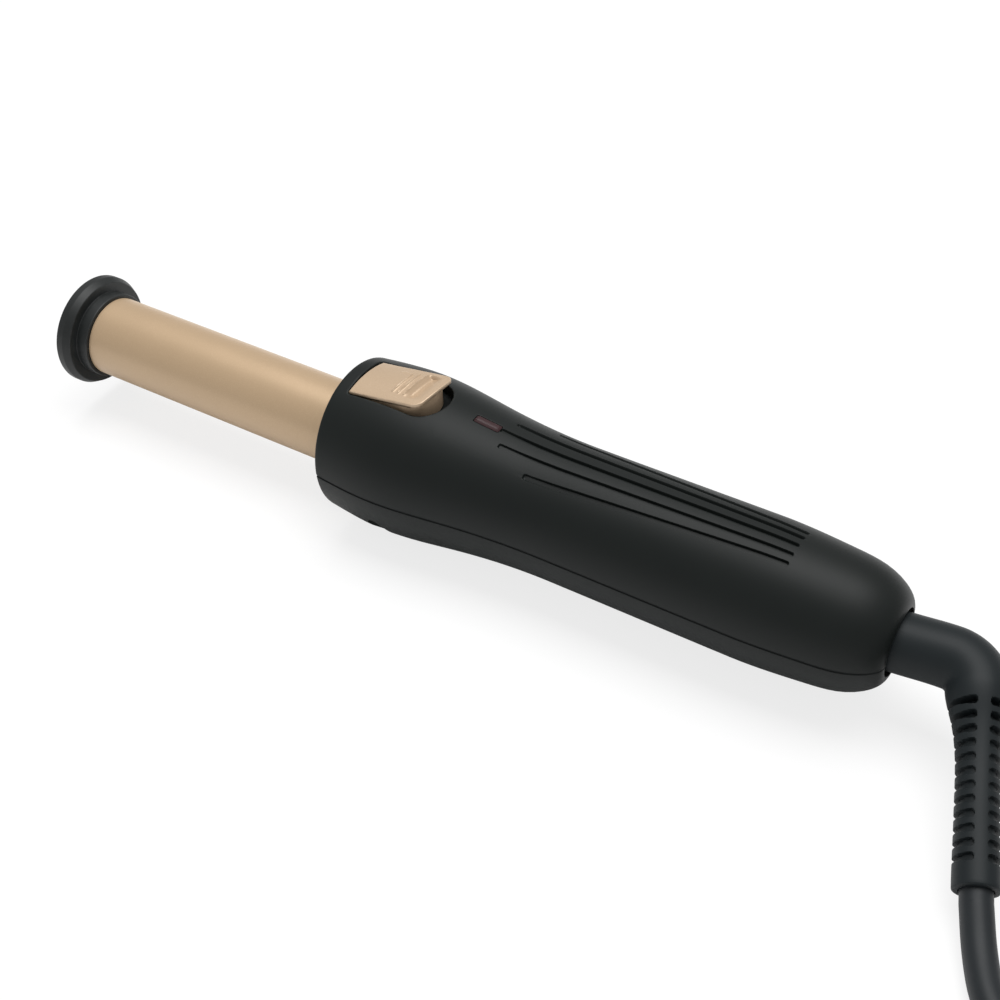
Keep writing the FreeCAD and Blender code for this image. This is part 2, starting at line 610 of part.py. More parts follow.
# ---------------------------------------------------------------- slide switch
def slide_knob():
    """The thumb piece: its top rises from the handle's surface to a lip, with a hollow in front of the lip."""
    half = "(knob_half_width - knob_inset)"
    straight = box("KnobStraight", f"knob_length - {half}", f"2 * {half}", "bulge_radius", "knob_front",
                   "knob_bottom")
    end = cylinder("KnobEnd", half, "bulge_radius", f"knob_rear - {half} - slip_gap", "0", "knob_bottom",
                   ALONG_Z)
    base = fuse("KnobBase", straight, end)
    roof = box("KnobRoofBlock", "knob_length", "2 * knob_half_width", "bulge_radius", "knob_front",
               "knob_bottom")
    middle = size("knob_front") + size("knob_length") / 2
    cap = rounded("KnobCap", roof, size("knob_corner_round"),
                  lambda edge: edge.BoundBox.ZLength > 1 and edge.BoundBox.XMin > middle)
    ramp = cone("KnobRamp", "knob_front_radius", "knob_lip_radius", "knob_length", "knob_front")
    under = cone("KnobUnder", "knob_front_radius - knob_lip_thick", "knob_lip_radius - knob_lip_thick",
                 "knob_length", "knob_front")
    scoop = cylinder("KnobScoop", "scoop_radius", "4 * knob_half_width", "knob_rear - scoop_from_lip",
                     "-2 * knob_half_width", "knob_lip_radius + scoop_radius - scoop_depth", ALONG_Y)
    blank = fuse("KnobBlank", common("KnobBody", base, ramp),
                 cut("KnobLip", common("KnobRoof", cap, ramp), under))
    stem = box("KnobStem", "stem_length", "stem_width", "knob_bottom - slider_top + knob_lip_thick",
               "stem_front", "slider_top")
    return piece(fuse("Knob", cut("KnobHollowed", blank, scoop), stem), "slide_knob")


def switch_slider():
    """The plate under the pocket that carries the knob, with an arm and a fork that moves the switch's lever."""
    under = "slider_top - slider_thick"
    plate = box("SliderPlate", "slider_length", "2 * slider_half_width", "slider_thick", "slider_front",
                under)
    arm = box("SliderArm", "arm_length", "arm_width", "slider_thick", "slider_front + slider_length", under)
    prongs = [box(f"SliderProng{n}", "fork_thick", "arm_width", "fork_drop", x, f"{under} - fork_drop")
              for n, x in enumerate(("arm_rear - fork_thick",
                                     "arm_rear - 2 * fork_thick - 2 * clear_gap - lever_length"))]
    return piece(fuse("Slider", plate, arm, *prongs), "switch_slider")


def slide_switch():
    body = box("SwitchBody", "switch_length", "switch_width", "switch_height",
               "lever_front - (switch_length - lever_length - switch_travel) / 2", "board_top")
    piece(body, "slide_switch")
    lever = box("SwitchLever", "lever_length", "lever_width", "lever_height", "lever_front",
                "switch_top + clear_gap / 3")
    piece(lever, "switch_lever")


# ---------------------------------------------------------------- circuit board and indicator
def circuit_board():
    plate = box("BoardPlate", "board_length", "board_width", "board_thick", "front + board_from_front",
                "board_bottom")
    holes = [cylinder(f"BoardHole{n}", "board_screw_radius + slip_gap", "4 * board_thick", x, "0",
                      "board_bottom - board_thick", ALONG_Z) for n, x in enumerate(board_posts())]
    piece(cut("Board", plate, *holes), "circuit_board")
    screws = []
    for n, x in enumerate(board_posts()):
        head = cylinder(f"BoardScrewHead{n}", "board_screw_head_radius", "board_screw_head_thick", x, "0",
                        "board_top", ALONG_Z)
        shank = cylinder(f"BoardScrewShank{n}", "board_screw_radius", "board_screw_length + board_thick",
                         x, "0",
                         "board_bottom - board_screw_length", ALONG_Z)
        screws.append(fuse(f"BoardScrew{n}", head, shank))
    group = doc.addObject("Part::Compound", "BoardScrews")
    group.Links = screws
    piece(group, "board_screws")


def board_parts():
    """The dropper capacitor and the resistors that feed the indicator."""
    between = "first_post + board_screw_head_radius + 2 * component_gap"
    capacitor = box("Capacitor", "capacitor_length", "capacitor_width", "capacitor_height", between,
                    "board_top")
    piece(capacitor, "capacitor")
    resistors = [cylinder(f"Resistor{n}", "resistor_radius", "resistor_length", between,
                          f"{side} * (capacitor_width / 2 + resistor_radius + component_gap)",
                          "board_top + resistor_radius")
                 for n, side in enumerate((1, -1))]
    group = doc.addObject("Part::Compound", "Resistors")
    group.Links = resistors
    piece(group, "resistors")


def indicator():
    """A lens flush with the handle's surface, and a small lamp on long legs under it."""
    stick = box("LensStick", "lens_length - 2 * slip_gap", "lens_width - 2 * slip_gap", "bulge_radius",
                "lens_front + slip_gap", "lens_bottom")
    surface = form("LensSurface", size("lens_recess"), size("front"), size("rear"))
    flange = box("LensFlange", "lens_length + 2 * lens_flange", "lens_width + 2 * lens_flange",
                 "lens_flange_thick",
                 "lens_front - lens_flange", "lens_bottom")
    piece(fuse("Lens", common("LensBody", stick, surface), flange), "lamp_lens")
    middle = "lens_front + lens_length / 2"
    bulb = cylinder("Bulb", "led_radius", "led_height", middle, "0", "lens_bottom - led_gap - led_height",
                    ALONG_Z)
    legs = [box(f"BulbLeg{n}", "led_leg", "led_leg", "lens_bottom - led_gap - led_height - board_top + led_leg",
                f"{middle} - led_leg / 2", "board_top", f"{side} * led_leg_spacing / 2 - led_leg / 2")
            for n, side in enumerate((1, -1))]
    piece(fuse("Indicator", bulb, *legs), "indicator_lamp")


# ---------------------------------------------------------------- cord swivel
def swivel_bush():
    return piece(turned("Bush", [
        ("bush_start", "bush_inner"), ("bush_start", "bush_outer"), ("bush_end", "bush_outer"),
        ("bush_end", "bush_inner"),
    ]), "swivel_bush")


def swivel_core():
    return piece(turned("Core", [
        ("core_start", "0"), ("core_start", "core_radius"), ("flange_start", "core_radius"),
        ("flange_start", "0"),
    ]), "swivel_core")


def slip_stations():
    return [f"core_start + slip_ring_inset + {n} * slip_ring_spacing" for n in range(2)]


def slip_rings():
    rings = [turned(f"SlipRing{n}", [
        (x, "core_radius"), (x, "slip_ring_outer"), (f"{x} + slip_ring_width", "slip_ring_outer"),
        (f"{x} + slip_ring_width", "core_radius"),
    ]) for n, x in enumerate(slip_stations())]
    group = doc.addObject("Part::Compound", "SlipRings")
    group.Links = rings
    return piece(group, "slip_rings")


def contacts():
    """Two flat springs that press on the slip rings from a moulded block below them."""
    top = "-slip_ring_outer - running_gap - contact_thick"
    block = box("ContactBlock", "core_length - flange_gap", "contact_block_width", "contact_block_height",
                "core_start",
                f"{top} - contact_block_height")
    piece(block, "contact_block")
    strips = [box(f"Contact{n}", "slip_ring_width", "contact_block_width - 2 * contact_inset",
                  "contact_thick", x, top)
              for n, x in enumerate(slip_stations())]
    group = doc.addObject("Part::Compound", "Contacts")
    group.Links = strips
    return piece(group, "contact_springs")


def supply_leads():
    """The two wires from the swivel's contacts to the rear end of the board."""
    radius = size("lead_radius")
    rest = size("board_top") + radius
    board_end = size("front") + size("board_from_front") + size("board_length")
    block = size("core_start")
    low = -size("slip_ring_outer") - size("running_gap") - size("contact_thick") - size("contact_block_height") / 2
    wires = []
    for side in (1, -1):
        near = side * size("contact_block_width") / 3
        wide = side * (size("boss_radius") + 2 * radius)
        points = [Vector(board_end - size("lead_on_board"), wide, rest),
                  Vector(board_end + size("lead_rise_end"), wide, rest),
                  Vector(block - size("lead_rise_start"), near, low), Vector(block, near, low)]
        wires.append(swept_round(bent_wire(points)[0], radius))
    place_made(made("SupplyLeads", Part.makeCompound(wires)), "supply_leads")


# ---------------------------------------------------------------- cord boot
def tail_direction():
    heading, fall = math.radians(size("tail_heading")), math.radians(size("tail_fall"))
    return Vector(math.cos(heading) * math.cos(fall), math.sin(heading) * math.cos(fall), -math.sin(fall))


def boot_tail(start, elbow, along):
    """The tail is turned: it narrows quickly behind the elbow and then stays slim down to the cord."""
    neck, slim, run = size("neck_radius"), size("tail_waist_radius"), size("tail_taper_run")
    end, end_radius = size("tail_length"), size("tail_end_radius")
    taper = Part.BSplineCurve()
    taper.interpolate([Vector(start, neck, 0), Vector(start + run / 2, slim + 0.42 * (neck - slim), 0),
                       Vector(start + run, slim, 0), Vector(end, end_radius, 0)])
    rest = Part.makePolygon([Vector(end, end_radius, 0), Vector(end, 0, 0), Vector(start, 0, 0),
                             Vector(start, neck, 0)])
    tail = Part.Face(Part.Wire([taper.toShape()] + rest.Edges)).revolve(Vector(), Vector(1, 0, 0), 360)
    tail.Placement = Placement(elbow, Rotation(Vector(1, 0, 0), along))
    return tail


def cord_boot():
    """The moulded boot: a neck that turns in the bush, an elbow, and a slotted tail that tapers to the cord."""
    neck = size("neck_radius")
    elbow, along = Vector(size("elbow"), 0, 0), tail_direction()
    start = Vector(size("flange_start"), 0, 0)
    reach = size("elbow_radius") * math.tan(along.getAngle(Vector(1, 0, 0)) / 2)
    bend, _ = bent_wire([start, elbow, elbow + along * (reach + size("elbow_run"))], [size("elbow_radius")])
    trunk = swept_round(bend, neck)
    tail, tail_end = boot_tail(reach, elbow, along), elbow + along * size("tail_length")
    flange = Part.makeCylinder(size("flange_radius"), size("flange_thick"), start, Vector(1, 0, 0))
    boot = trunk.fuse([tail, flange]).removeSplitter()
    across = Vector(0, 0, 1).cross(along).normalize()
    upward = along.cross(across)
    slots = []
    for number in range(int(size("slot_count"))):
        station = elbow + along * (size("slot_from_elbow") + number * size("slot_pitch"))
        for side in (1, -1):
            slot = Part.makeBox(size("slot_width"), neck, 2 * neck, Vector(0, size("spine_width") / 2, -neck))
            keep = Part.makeCylinder(size("web_width") / 2, size("slot_width"), Vector(), Vector(1, 0, 0))
            slot = slot.cut(keep)
            frame = FreeCAD.Matrix(along.x, side * across.x, upward.x, station.x,
                                   along.y, side * across.y, upward.y, station.y,
                                   along.z, side * across.z, upward.z, station.z, 0, 0, 0, 1)
            slots.append(slot.transformGeometry(frame))
    boot = boot.cut(slots)
    place_made(made("CordBoot", boot), "cord_boot")
    return tail_end, along


# ---------------------------------------------------------------- cord and plug
COIL_CENTRE = Vector(214.0, -24.0, 0)
CORD_ROUTE = [
    Vector(137.9, -46.6, 3.0), Vector(142.5, -55.2, 3.0), Vector(149.9, -61.7, 3.0),
    Vector(159.2, -65.0, 3.1),
]


def on_ground(feature, label):
    """A piece of the lead is drawn straight in the part's own frame, on the ground plane."""
    feature.Label = label
    PIECES.append(feature)
    return feature


def ring_edge(offset):
    """How far from the coil's centre line a straight run at this offset leaves the coil's rim."""
    inner = offset - size("cord_radius")
    return math.sqrt(size("coil_outer_radius") ** 2 - inner ** 2) + size("cord_gap")


def cord(tail_end, along):
    """The lead from the boot's tail to the coil, and the coil."""
    radius = size("cord_radius")
    shift = Vector(-size("rear") / 2, 0, size("bulge_radius"))
    start = tail_end + shift + along * size("cord_gap")
    turn = size("coil_outer_radius") - radius
    end = COIL_CENTRE + Vector(-ring_edge(turn), -turn, size("coil_lift") + radius)
    wire, radii = bent_wire([start] + CORD_ROUTE + [end])
    print("cord arcs", [round(value, 1) for value in radii], "length", round(wire.Length, 1))
    on_ground(made("CordTube", swept_round(wire, radius)), "cord_tube")

    on_ground(made("CordCoil", coil_section().revolve(COIL_CENTRE, Vector(0, 0, 1), 360)), "cord_coil")


def coil_section():
    """The section of the wound turns: a round for each turn, and a web that joins them."""
    radius, web = size("cord_radius"), size("coil_web")

    def middles(start, length):
        count = max(round(length / (2 * radius)), 2)
        step = (length - 2 * radius) / (count - 1)
        return [start + radius + step * n for n in range(count)]

    lanes = middles(size("coil_inner_radius"), size("coil_outer_radius") - size("coil_inner_radius"))
    layers = middles(size("coil_lift"), size("coil_height"))
    left, right, low, high = lanes[0] - web, lanes[-1] + web, layers[0] - web, layers[-1] + web
    corners = [(left, low), (right, low), (right, high), (left, high), (left, low)]
    joining = Part.Face(Part.makePolygon([COIL_CENTRE + Vector(r, 0, z) for r, z in corners]))
    turns = [Part.Face(Part.Wire([Part.makeCircle(radius, COIL_CENTRE + Vector(r, 0, z), Vector(0, -1, 0))]))
             for r in lanes for z in layers]
    faces = Part.Shell(joining.fuse(turns).Faces).removeSplitter().Faces
    assert len(faces) == 1, f"the coil's section has {len(faces)} faces"
    return faces[0]


def cord_tie():
    """A strap round the coil at one place."""
    gap, thick, width = size("tie_gap"), size("tie_thick"), size("tie_width")
    inner = math.sqrt(size("coil_inner_radius") ** 2 - (width / 2) ** 2) - gap
    outer = size("coil_outer_radius") + gap
    low, high = size("coil_lift") - gap, size("coil_lift") + size("coil_height") + gap
    around = Part.makeBox(outer - inner + 2 * thick, width, high - low + 2 * thick,
                          Vector(inner - thick, -width / 2, low - thick))
    window = Part.makeBox(outer - inner, width, high - low, Vector(inner, -width / 2, low))
    strap = around.cut(window)
    strap.rotate(Vector(), Vector(0, 0, 1), size("tie_angle"))
    on_ground(made("CordTie", strap.translated(COIL_CENTRE)), "cord_tie")


def cord_end(axis_y, axis_z):
    """The short run from the coil's rim to the plug, and the station where the plug's relief starts."""
    radius = size("cord_radius")
    turn = size("coil_outer_radius") - radius
    high = size("coil_lift") + size("coil_height") - radius
    start = COIL_CENTRE + Vector(ring_edge(turn), -turn, high)
    angle = math.radians(size("end_turn"))
    reach = size("end_bend") * math.tan(angle / 2)
    first = start + Vector(reach + size("cord_gap"), 0, 0)
    second = Vector(first.x + (axis_y - first.y) / math.tan(angle), axis_y, axis_z)
    relief_start = second.x + reach + size("last_run")
    end = Vector(relief_start - 2 * size("cord_gap"), axis_y, axis_z)
    wire, _ = bent_wire([start, first, second, end], [size("end_bend")] * 2)
    on_ground(made("CordEnd", swept_round(wire, radius)), "cord_end")
    return relief_start


def plug():
    """A flat two-pin plug that lies past the coil, with its pins pointing away from the wand."""
    axis_y, axis_z = -size("plug_aside"), size("plug_thick") / 2
    relief = cord_end(axis_y, axis_z)
    grip_start = relief + size("plug_relief_length")
    face = grip_start + size("plug_length")
    grip = Part.makeBox(size("plug_length"), size("plug_width"), size("plug_thick"),
                        Vector(grip_start, axis_y - size("plug_width") / 2, 0))
    rounds = [edge for edge in grip.Edges if edge.BoundBox.XLength > size("overshoot")]
    grip = grip.makeFillet(size("plug_round"), rounds)
    sleeve = Part.makeCone(size("tail_end_radius"), size("plug_relief_radius"), size("plug_relief_length"),
                           Vector(relief, axis_y, axis_z), Vector(1, 0, 0))
    body = grip.fuse(sleeve)
    pins = []
    for side in (1, -1):
        foot = Vector(face, axis_y + side * size("pin_spacing") / 2, axis_z)
        root = Part.makeCylinder(size("pin_root_radius"), size("pin_embed"), foot, Vector(-1, 0, 0))
        shank = Part.makeCylinder(size("pin_radius"), size("pin_length"), foot, Vector(1, 0, 0))
        tip = [edge for edge in shank.Edges if edge.isClosed() and edge.BoundBox.XMin > face + size("pin_tip_round")]
        body = body.cut(root)
        pins.append(shank.makeFillet(size("pin_tip_round"), tip).fuse(root))
    on_ground(made("PlugBody", body), "plug_body")
    on_ground(made("PlugPins", Part.makeCompound(pins)), "plug_pins")
    print("plug face at", round(face, 5))


# ---------------------------------------------------------------- build, check and write
def main():
    tip_cap()
    barrel()
    heater()
    leads()
    front_ring()
    barrel_holder()
    upper_shell()
    lower_shell()
    shell_screws()
    slide_knob()
    switch_slider()
    slide_switch()
    circuit_board()
    board_parts()
    indicator()
    swivel_bush()
    swivel_core()
    slip_rings()
    contacts()
    supply_leads()
    tail_end, along = cord_boot()
    cord(tail_end, along)
    cord_tie()
    plug()
    doc.recompute()

    broken = [thing.Name for thing in doc.Objects if {"Invalid", "Error"} & set(thing.State)]
    assert not broken, f"objects that failed: {broken}"
    os.makedirs("parts", exist_ok=True)
    for thing in PIECES:
        assert not thing.Shape.isNull() and thing.Shape.isValid() and thing.Shape.Solids, thing.Label
        thing.Shape.exportStep(f"parts/{thing.Label}.step")
        corners = thing.Shape.BoundBox
        print(f"{thing.Label:20s} solids {len(thing.Shape.Solids)} volume {thing.Shape.Volume:9.1f}"
              f"  x {corners.XMin:7.2f} {corners.XMax:7.2f}  y {corners.YMin:6.2f} {corners.YMax:6.2f}"
              f"  z {corners.ZMin:6.2f} {corners.ZMax:6.2f}")


main()
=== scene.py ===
# %% [markdown]
# # A short curling wand
#
# The wand has a bare heated barrel with a cool black tip, a handle made of two moulded shells, a
# champagne slide switch, a small red indicator and a mains lead that swivels in the handle's rear end.
# A construction model gives every piece its size and place. This lesson dresses that model: it builds
# the visible surfaces again with their fine edges, grooves and ribs, and gives each one its finish.
# All shapes are worked out in millimetres along the wand's own axis and turned into metres at the end.

import json
import math

import bmesh
import bpy
import numpy as np
from mathutils import Matrix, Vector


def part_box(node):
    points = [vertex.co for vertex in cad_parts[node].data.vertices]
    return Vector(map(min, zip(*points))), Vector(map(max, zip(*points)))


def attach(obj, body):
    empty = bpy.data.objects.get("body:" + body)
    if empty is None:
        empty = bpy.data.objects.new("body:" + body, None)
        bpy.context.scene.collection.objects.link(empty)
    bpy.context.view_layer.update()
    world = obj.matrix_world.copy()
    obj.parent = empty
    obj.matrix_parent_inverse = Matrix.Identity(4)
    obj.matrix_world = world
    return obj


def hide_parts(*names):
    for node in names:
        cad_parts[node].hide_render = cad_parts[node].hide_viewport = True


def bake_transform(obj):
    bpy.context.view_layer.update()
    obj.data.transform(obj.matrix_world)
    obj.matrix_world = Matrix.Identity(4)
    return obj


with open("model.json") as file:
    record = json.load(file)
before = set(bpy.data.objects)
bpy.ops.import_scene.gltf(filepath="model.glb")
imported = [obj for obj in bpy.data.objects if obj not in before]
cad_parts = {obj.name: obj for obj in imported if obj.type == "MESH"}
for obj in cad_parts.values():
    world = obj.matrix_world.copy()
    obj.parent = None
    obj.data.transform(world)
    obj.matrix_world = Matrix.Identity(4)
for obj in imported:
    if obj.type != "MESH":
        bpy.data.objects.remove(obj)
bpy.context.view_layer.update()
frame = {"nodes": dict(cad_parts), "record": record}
MM = 0.001
print("pieces in the construction:", len(frame["nodes"]))


# %% [markdown]
# ## Places that the construction gives
#
# The wand lies along +X. The main stations are read from the boxes of the construction's pieces, so
# the dressed pieces land where the solid ones are. The front end of the handle isn't square to the
# axis: it leans back towards its lower edge by 3.3 degrees.

# %% Stations along the wand, in millimetres
def box_mm(node):
    """A node's lowest and highest corners in millimetres."""
    low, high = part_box(node)
    return np.array(low) / MM, np.array(high) / MM


barrel_low, barrel_high = box_mm("barrel_tube")
shell_low, shell_high = box_mm("handle_upper_shell")
knob_low, knob_high = box_mm("slide_knob")

TIP = box_mm("tip_cap")[0][0]
AXIS_Z = (barrel_low[2] + barrel_high[2]) / 2
FRONT, REAR = shell_low[0], shell_high[0]
BARREL_R = (barrel_high[1] - barrel_low[1]) / 2
BULGE_R = shell_high[1]
FRONT_TOP, FRONT_LEAN = 17.2, math.tan(math.radians(3.3))
print(f"axis at {AXIS_Z:.2f} mm, handle from {FRONT:.2f} to {REAR:.2f} mm, barrel radius {BARREL_R:.2f} mm")

# %% [markdown]
# ## Camera
#
# The wand is seen from its right rear quarter, from above, so that its tip points away to the upper
# left. The camera's three directions are given as a rotation, which keeps its slight roll.

# %% Camera
CAMERA_AT = (0.152006, -0.210587, 0.240545)
CAMERA_RIGHT = (0.84810, 0.52910, -0.02773)
CAMERA_UP = (-0.33620, 0.57787, 0.74366)
CAMERA_BACK = (0.40950, -0.62138, 0.66798)
camera_data = bpy.data.cameras.new("camera")
camera_data.lens, camera_data.sensor_width = 56.4236, 36.0
camera = bpy.data.objects.new("camera", camera_data)
camera.matrix_world = Matrix([
    [CAMERA_RIGHT[row], CAMERA_UP[row], CAMERA_BACK[row], CAMERA_AT[row]] for row in range(3)
] + [[0, 0, 0, 1]])
bpy.context.scene.collection.objects.link(camera)
bpy.context.scene.camera = camera
print("camera:", camera_data.lens, "mm lens at", CAMERA_AT)


# %% [markdown]
# ## Meshes from sheets of points
#
# Every new surface here is a sheet: a grid of points, worked out as one numpy array. A closed piece is
# a few sheets whose edges share points. `sew` puts the sheets into one mesh, merges the shared points
# and turns all faces outwards. A second array can go with each sheet and say how far the surface is
# exposed to wear, which the finishes read as an attribute.

# %% Sheets and sewing
def sheet_faces(rows, columns):
    """Corner numbers of the quads of a rows x columns grid: each quad joins four neighbouring points."""
    number = np.arange(rows * columns).reshape(rows, columns)
    return np.stack([number[:-1, :-1], number[:-1, 1:], number[1:, 1:], number[1:, :-1]], -1).reshape(-1, 4)


def sew(name, sheets, wear=None, on_axis=True, sharp=35, keep=None):
    """One mesh object from sheets of points in millimetres, measured from the wand's axis or the ground.

    wear holds an array per sheet with a value for each point, and keep a mask per sheet that says which
    of its faces stay. Edges that turn by more than the angle sharp, in degrees, are drawn sharp.
    """
    points, faces, worn = [], [], []
    start = 0
    for count, sheet in enumerate(sheets):
        rows, columns = sheet.shape[:2]
        quads = sheet_faces(rows, columns) + start
        if keep is not None and keep[count] is not None:
            quads = quads[keep[count].ravel()]
        points.append(sheet.reshape(-1, 3))
        faces.append(quads)
        worn.append(np.zeros(rows * columns) if wear is None else np.asarray(wear[count], float).ravel())
        start += rows * columns
    place = np.concatenate(points) * MM + np.array([0, 0, AXIS_Z * MM if on_axis else 0])
    mesh = bpy.data.meshes.new(name)
    mesh.from_pydata(place, [], np.concatenate(faces))
    mesh.attributes.new("wear", "FLOAT", "POINT").data.foreach_set("value", np.concatenate(worn))
    work = bmesh.new()
    work.from_mesh(mesh)
    bmesh.ops.remove_doubles(work, verts=work.verts, dist=2e-6)
    bmesh.ops.dissolve_degenerate(work, edges=work.edges, dist=1e-7)
    bmesh.ops.recalc_face_normals(work, faces=work.faces)
    open_edges = sum(1 for edge in work.edges if len(edge.link_faces) != 2)
    work.to_mesh(mesh)
    work.free()
    mesh.polygons.foreach_set("use_smooth", np.ones(len(mesh.polygons), bool))
    mesh.set_sharp_from_angle(angle=math.radians(sharp))
    piece = bpy.data.objects.new(name, mesh)
    bpy.context.scene.collection.objects.link(piece)
    print(f"{name}: {len(mesh.polygons)} faces, {open_edges} open edges")
    return piece


# %% [markdown]
# ## Turned shapes and rounded corners
#
# A lathe makes a round piece from a profile, and so does this lesson: a short list of corners, each with
# the radius of its rounding. Blender's Spin or Screw would do the same, but a profile that is worked out
# keeps its corners exact, and the same list tells where the edges are exposed to wear.

# %% Profiles and turning
def rounded_profile(corners, steps=6):
    """A profile of (station, radius) points through corners, each rounded by an arc of its own radius.

    A corner is (station, radius, rounding). The arc touches both sides at rounding / tan(half the angle).
    """
    spots = np.array([corner[:2] for corner in corners], float)
    line = [spots[0]]
    for before, corner, after, rounding in zip(spots, spots[1:], spots[2:], [c[2] for c in corners[1:]]):
        if rounding == 0:
            line.append(corner)
            continue
        into, out = before - corner, after - corner
        into, out = into / np.linalg.norm(into), out / np.linalg.norm(out)
        half = math.acos(np.clip(into @ out, -1, 1)) / 2
        reach = rounding / math.tan(half)
        share = np.linspace(0, 1, steps + 1)[:, None]
        first, last = corner + into * reach, corner + out * reach
        centre = corner + (into + out) / np.linalg.norm(into + out) * rounding / math.sin(half)
        chord = first + (last - first) * share - centre
        line.extend(centre + chord / np.linalg.norm(chord, axis=1)[:, None] * rounding)
    line.append(spots[-1])
    return np.array(line)


def turned(profile, segments=96):
    """The sheet that a (station, radius) profile sweeps when it turns once round the wand's axis."""
    angle = np.linspace(0, 2 * np.pi, segments + 1)
    x, r = profile[:, :1], profile[:, 1:]
    return np.stack([x + 0 * angle, r * np.sin(angle), r * np.cos(angle)], -1)


def corner_wear(profile, segments=96, width=0.5):
    """How exposed a turned sheet is: 1 where the profile turns by width radians or more, 0 where straight."""
    before, after = np.roll(profile, 1, 0), np.roll(profile, -1, 0)
    into, out = profile - before, after - profile
    into /= np.maximum(np.linalg.norm(into, axis=1), 1e-9)[:, None]
    out /= np.maximum(np.linalg.norm(out, axis=1), 1e-9)[:, None]
    turn = np.arccos(np.clip((into * out).sum(1), -1, 1))
    turn[[0, -1]] = 0
    return np.repeat(np.clip(turn / width, 0, 1)[:, None], segments + 1, 1)


one_corner = rounded_profile([(0, 0, 0), (0, 2, 1), (2, 2, 0)])
print("a rounded corner is drawn with", len(one_corner) - 2, "points")


# %% [markdown]
# ## The mains lead
#
# The real lead is a round flexible cord. It leaves the boot's tail, sags to the table and runs to a
# flat coil of two layers, where it is stored with a strap, and then to its plug. Its centre line is one
# NURBS curve through chosen points, because a cord under its own stiffness bends as smoothly as that.

# %% The coil of the lead
CORD_R = 3.0
COIL_AT = np.array([214.0, -24.0])
LAYER_LOW, LAYER_HIGH = 4.0, 10.0
LANES = np.array([41.0, 35.0, 29.0, 23.0])
INNER_DIP = 2.4


def smooth(share):
    """Eases from 0 to 1 with level ends: 3t^2 - 2t^3, held at 0 before and at 1 after."""
    t = np.clip(share, 0, 1)
    return t * t * (3 - 2 * t)


def coil_line():
    """Points of the coil, 15 degrees apart: four turns inwards on the table and four outwards above them.

    Each turn keeps its lane's radius and moves to the next lane in its last 60 degrees. The fourth turn
    climbs to the upper layer there and dips inwards a little, so that it passes under nothing.
    """
    degrees = np.arange(0, 8 * 360 + 1, 15.0)
    turn = np.minimum(degrees // 360, 7).astype(int)
    shift = np.where(turn < 7, smooth((degrees % 360 - 300) / 60), 0)
    lanes = np.concatenate([LANES, LANES[::-1], LANES[:1]])
    radius = lanes[turn] + (lanes[turn + 1] - lanes[turn]) * shift
    radius = radius - INNER_DIP * np.sin(np.pi * shift) * (turn == 3)
    climb = LAYER_LOW + (LAYER_HIGH - LAYER_LOW) * shift
    height = np.where(turn < 3, LAYER_LOW, np.where(turn > 3, LAYER_HIGH, climb))
    angle = np.radians(degrees + 270)
    return np.stack([COIL_AT[0] + radius * np.cos(angle), COIL_AT[1] + radius * np.sin(angle), height], 1)


print("coil:", len(coil_line()), "points, outside radius", LANES[0] + CORD_R, "mm")

# %% [markdown]
# ## The way of the lead
#
# The boot's tail gives the lead its first direction. From there its points are listed: down to
# the table, along it to the coil, and from the coil's upper layer to the plug. The lead starts and ends
# 1.5 mm inside the pieces that hold it, so no gap shows there.

# %% The lead's centre line
TAIL_HEADING, TAIL_FALL, TAIL_LONG = math.radians(-68.0), math.radians(17.0), 42.0
TAIL_WAY = np.array([math.cos(TAIL_HEADING) * math.cos(TAIL_FALL),
                     math.sin(TAIL_HEADING) * math.cos(TAIL_FALL), -math.sin(TAIL_FALL)])
ELBOW = np.array([REAR + 15.3, 0.0, AXIS_Z])
TAIL_END = ELBOW + TAIL_WAY * TAIL_LONG
RELIEF = box_mm("plug_body")[0][0]
HIDDEN = 1.5

lead_start = TAIL_END - TAIL_WAY * HIDDEN
slack = np.array([[137.9, -46.6, 3.0], [142.5, -55.2, 3.0], [149.9, -61.7, 3.0], [159.2, -65.0, 3.1],
                  [175.0, -65.0, 3.5], [191.5, -65.0, 4.0], [202.0, -65.0, 4.0]])
to_plug = np.array([[225.0, -65.0, 10.0], [236.5, -65.0, 10.0], [244.4, -65.0, 9.9], [254.0, -58.3, 9.0],
                    [265.8, -50.0, 8.1], [273.0, -50.0, 8.0], [RELIEF + HIDDEN, -50.0, 8.0]])
leaving = [lead_start - TAIL_WAY * 6, lead_start, lead_start + TAIL_WAY * 4, TAIL_END + TAIL_WAY * 2]
guides = np.concatenate([leaving, slack, coil_line(), to_plug])

curve = bpy.data.curves.new("lead_line", "CURVE")
curve.dimensions, curve.resolution_u = "3D", 6
spline = curve.splines.new("NURBS")
spline.points.add(len(guides) - 1)
spline.points.foreach_set("co", np.column_stack([guides * MM, np.ones(len(guides))]).ravel())
spline.order_u, spline.use_endpoint_u = 3, True
curve_object = bpy.data.objects.new("lead_line", curve)
bpy.context.scene.collection.objects.link(curve_object)
line_mesh = bpy.data.meshes.new_from_object(curve_object)
lead_line = np.zeros(len(line_mesh.vertices) * 3)
line_mesh.vertices.foreach_get("co", lead_line)
lead_line = lead_line.reshape(-1, 3) / MM
bpy.data.objects.remove(curve_object)
ahead = (lead_line - lead_start) @ TAIL_WAY > 1e-3
lead_line = np.concatenate([[lead_start], lead_line[int(ahead.argmax()):]])
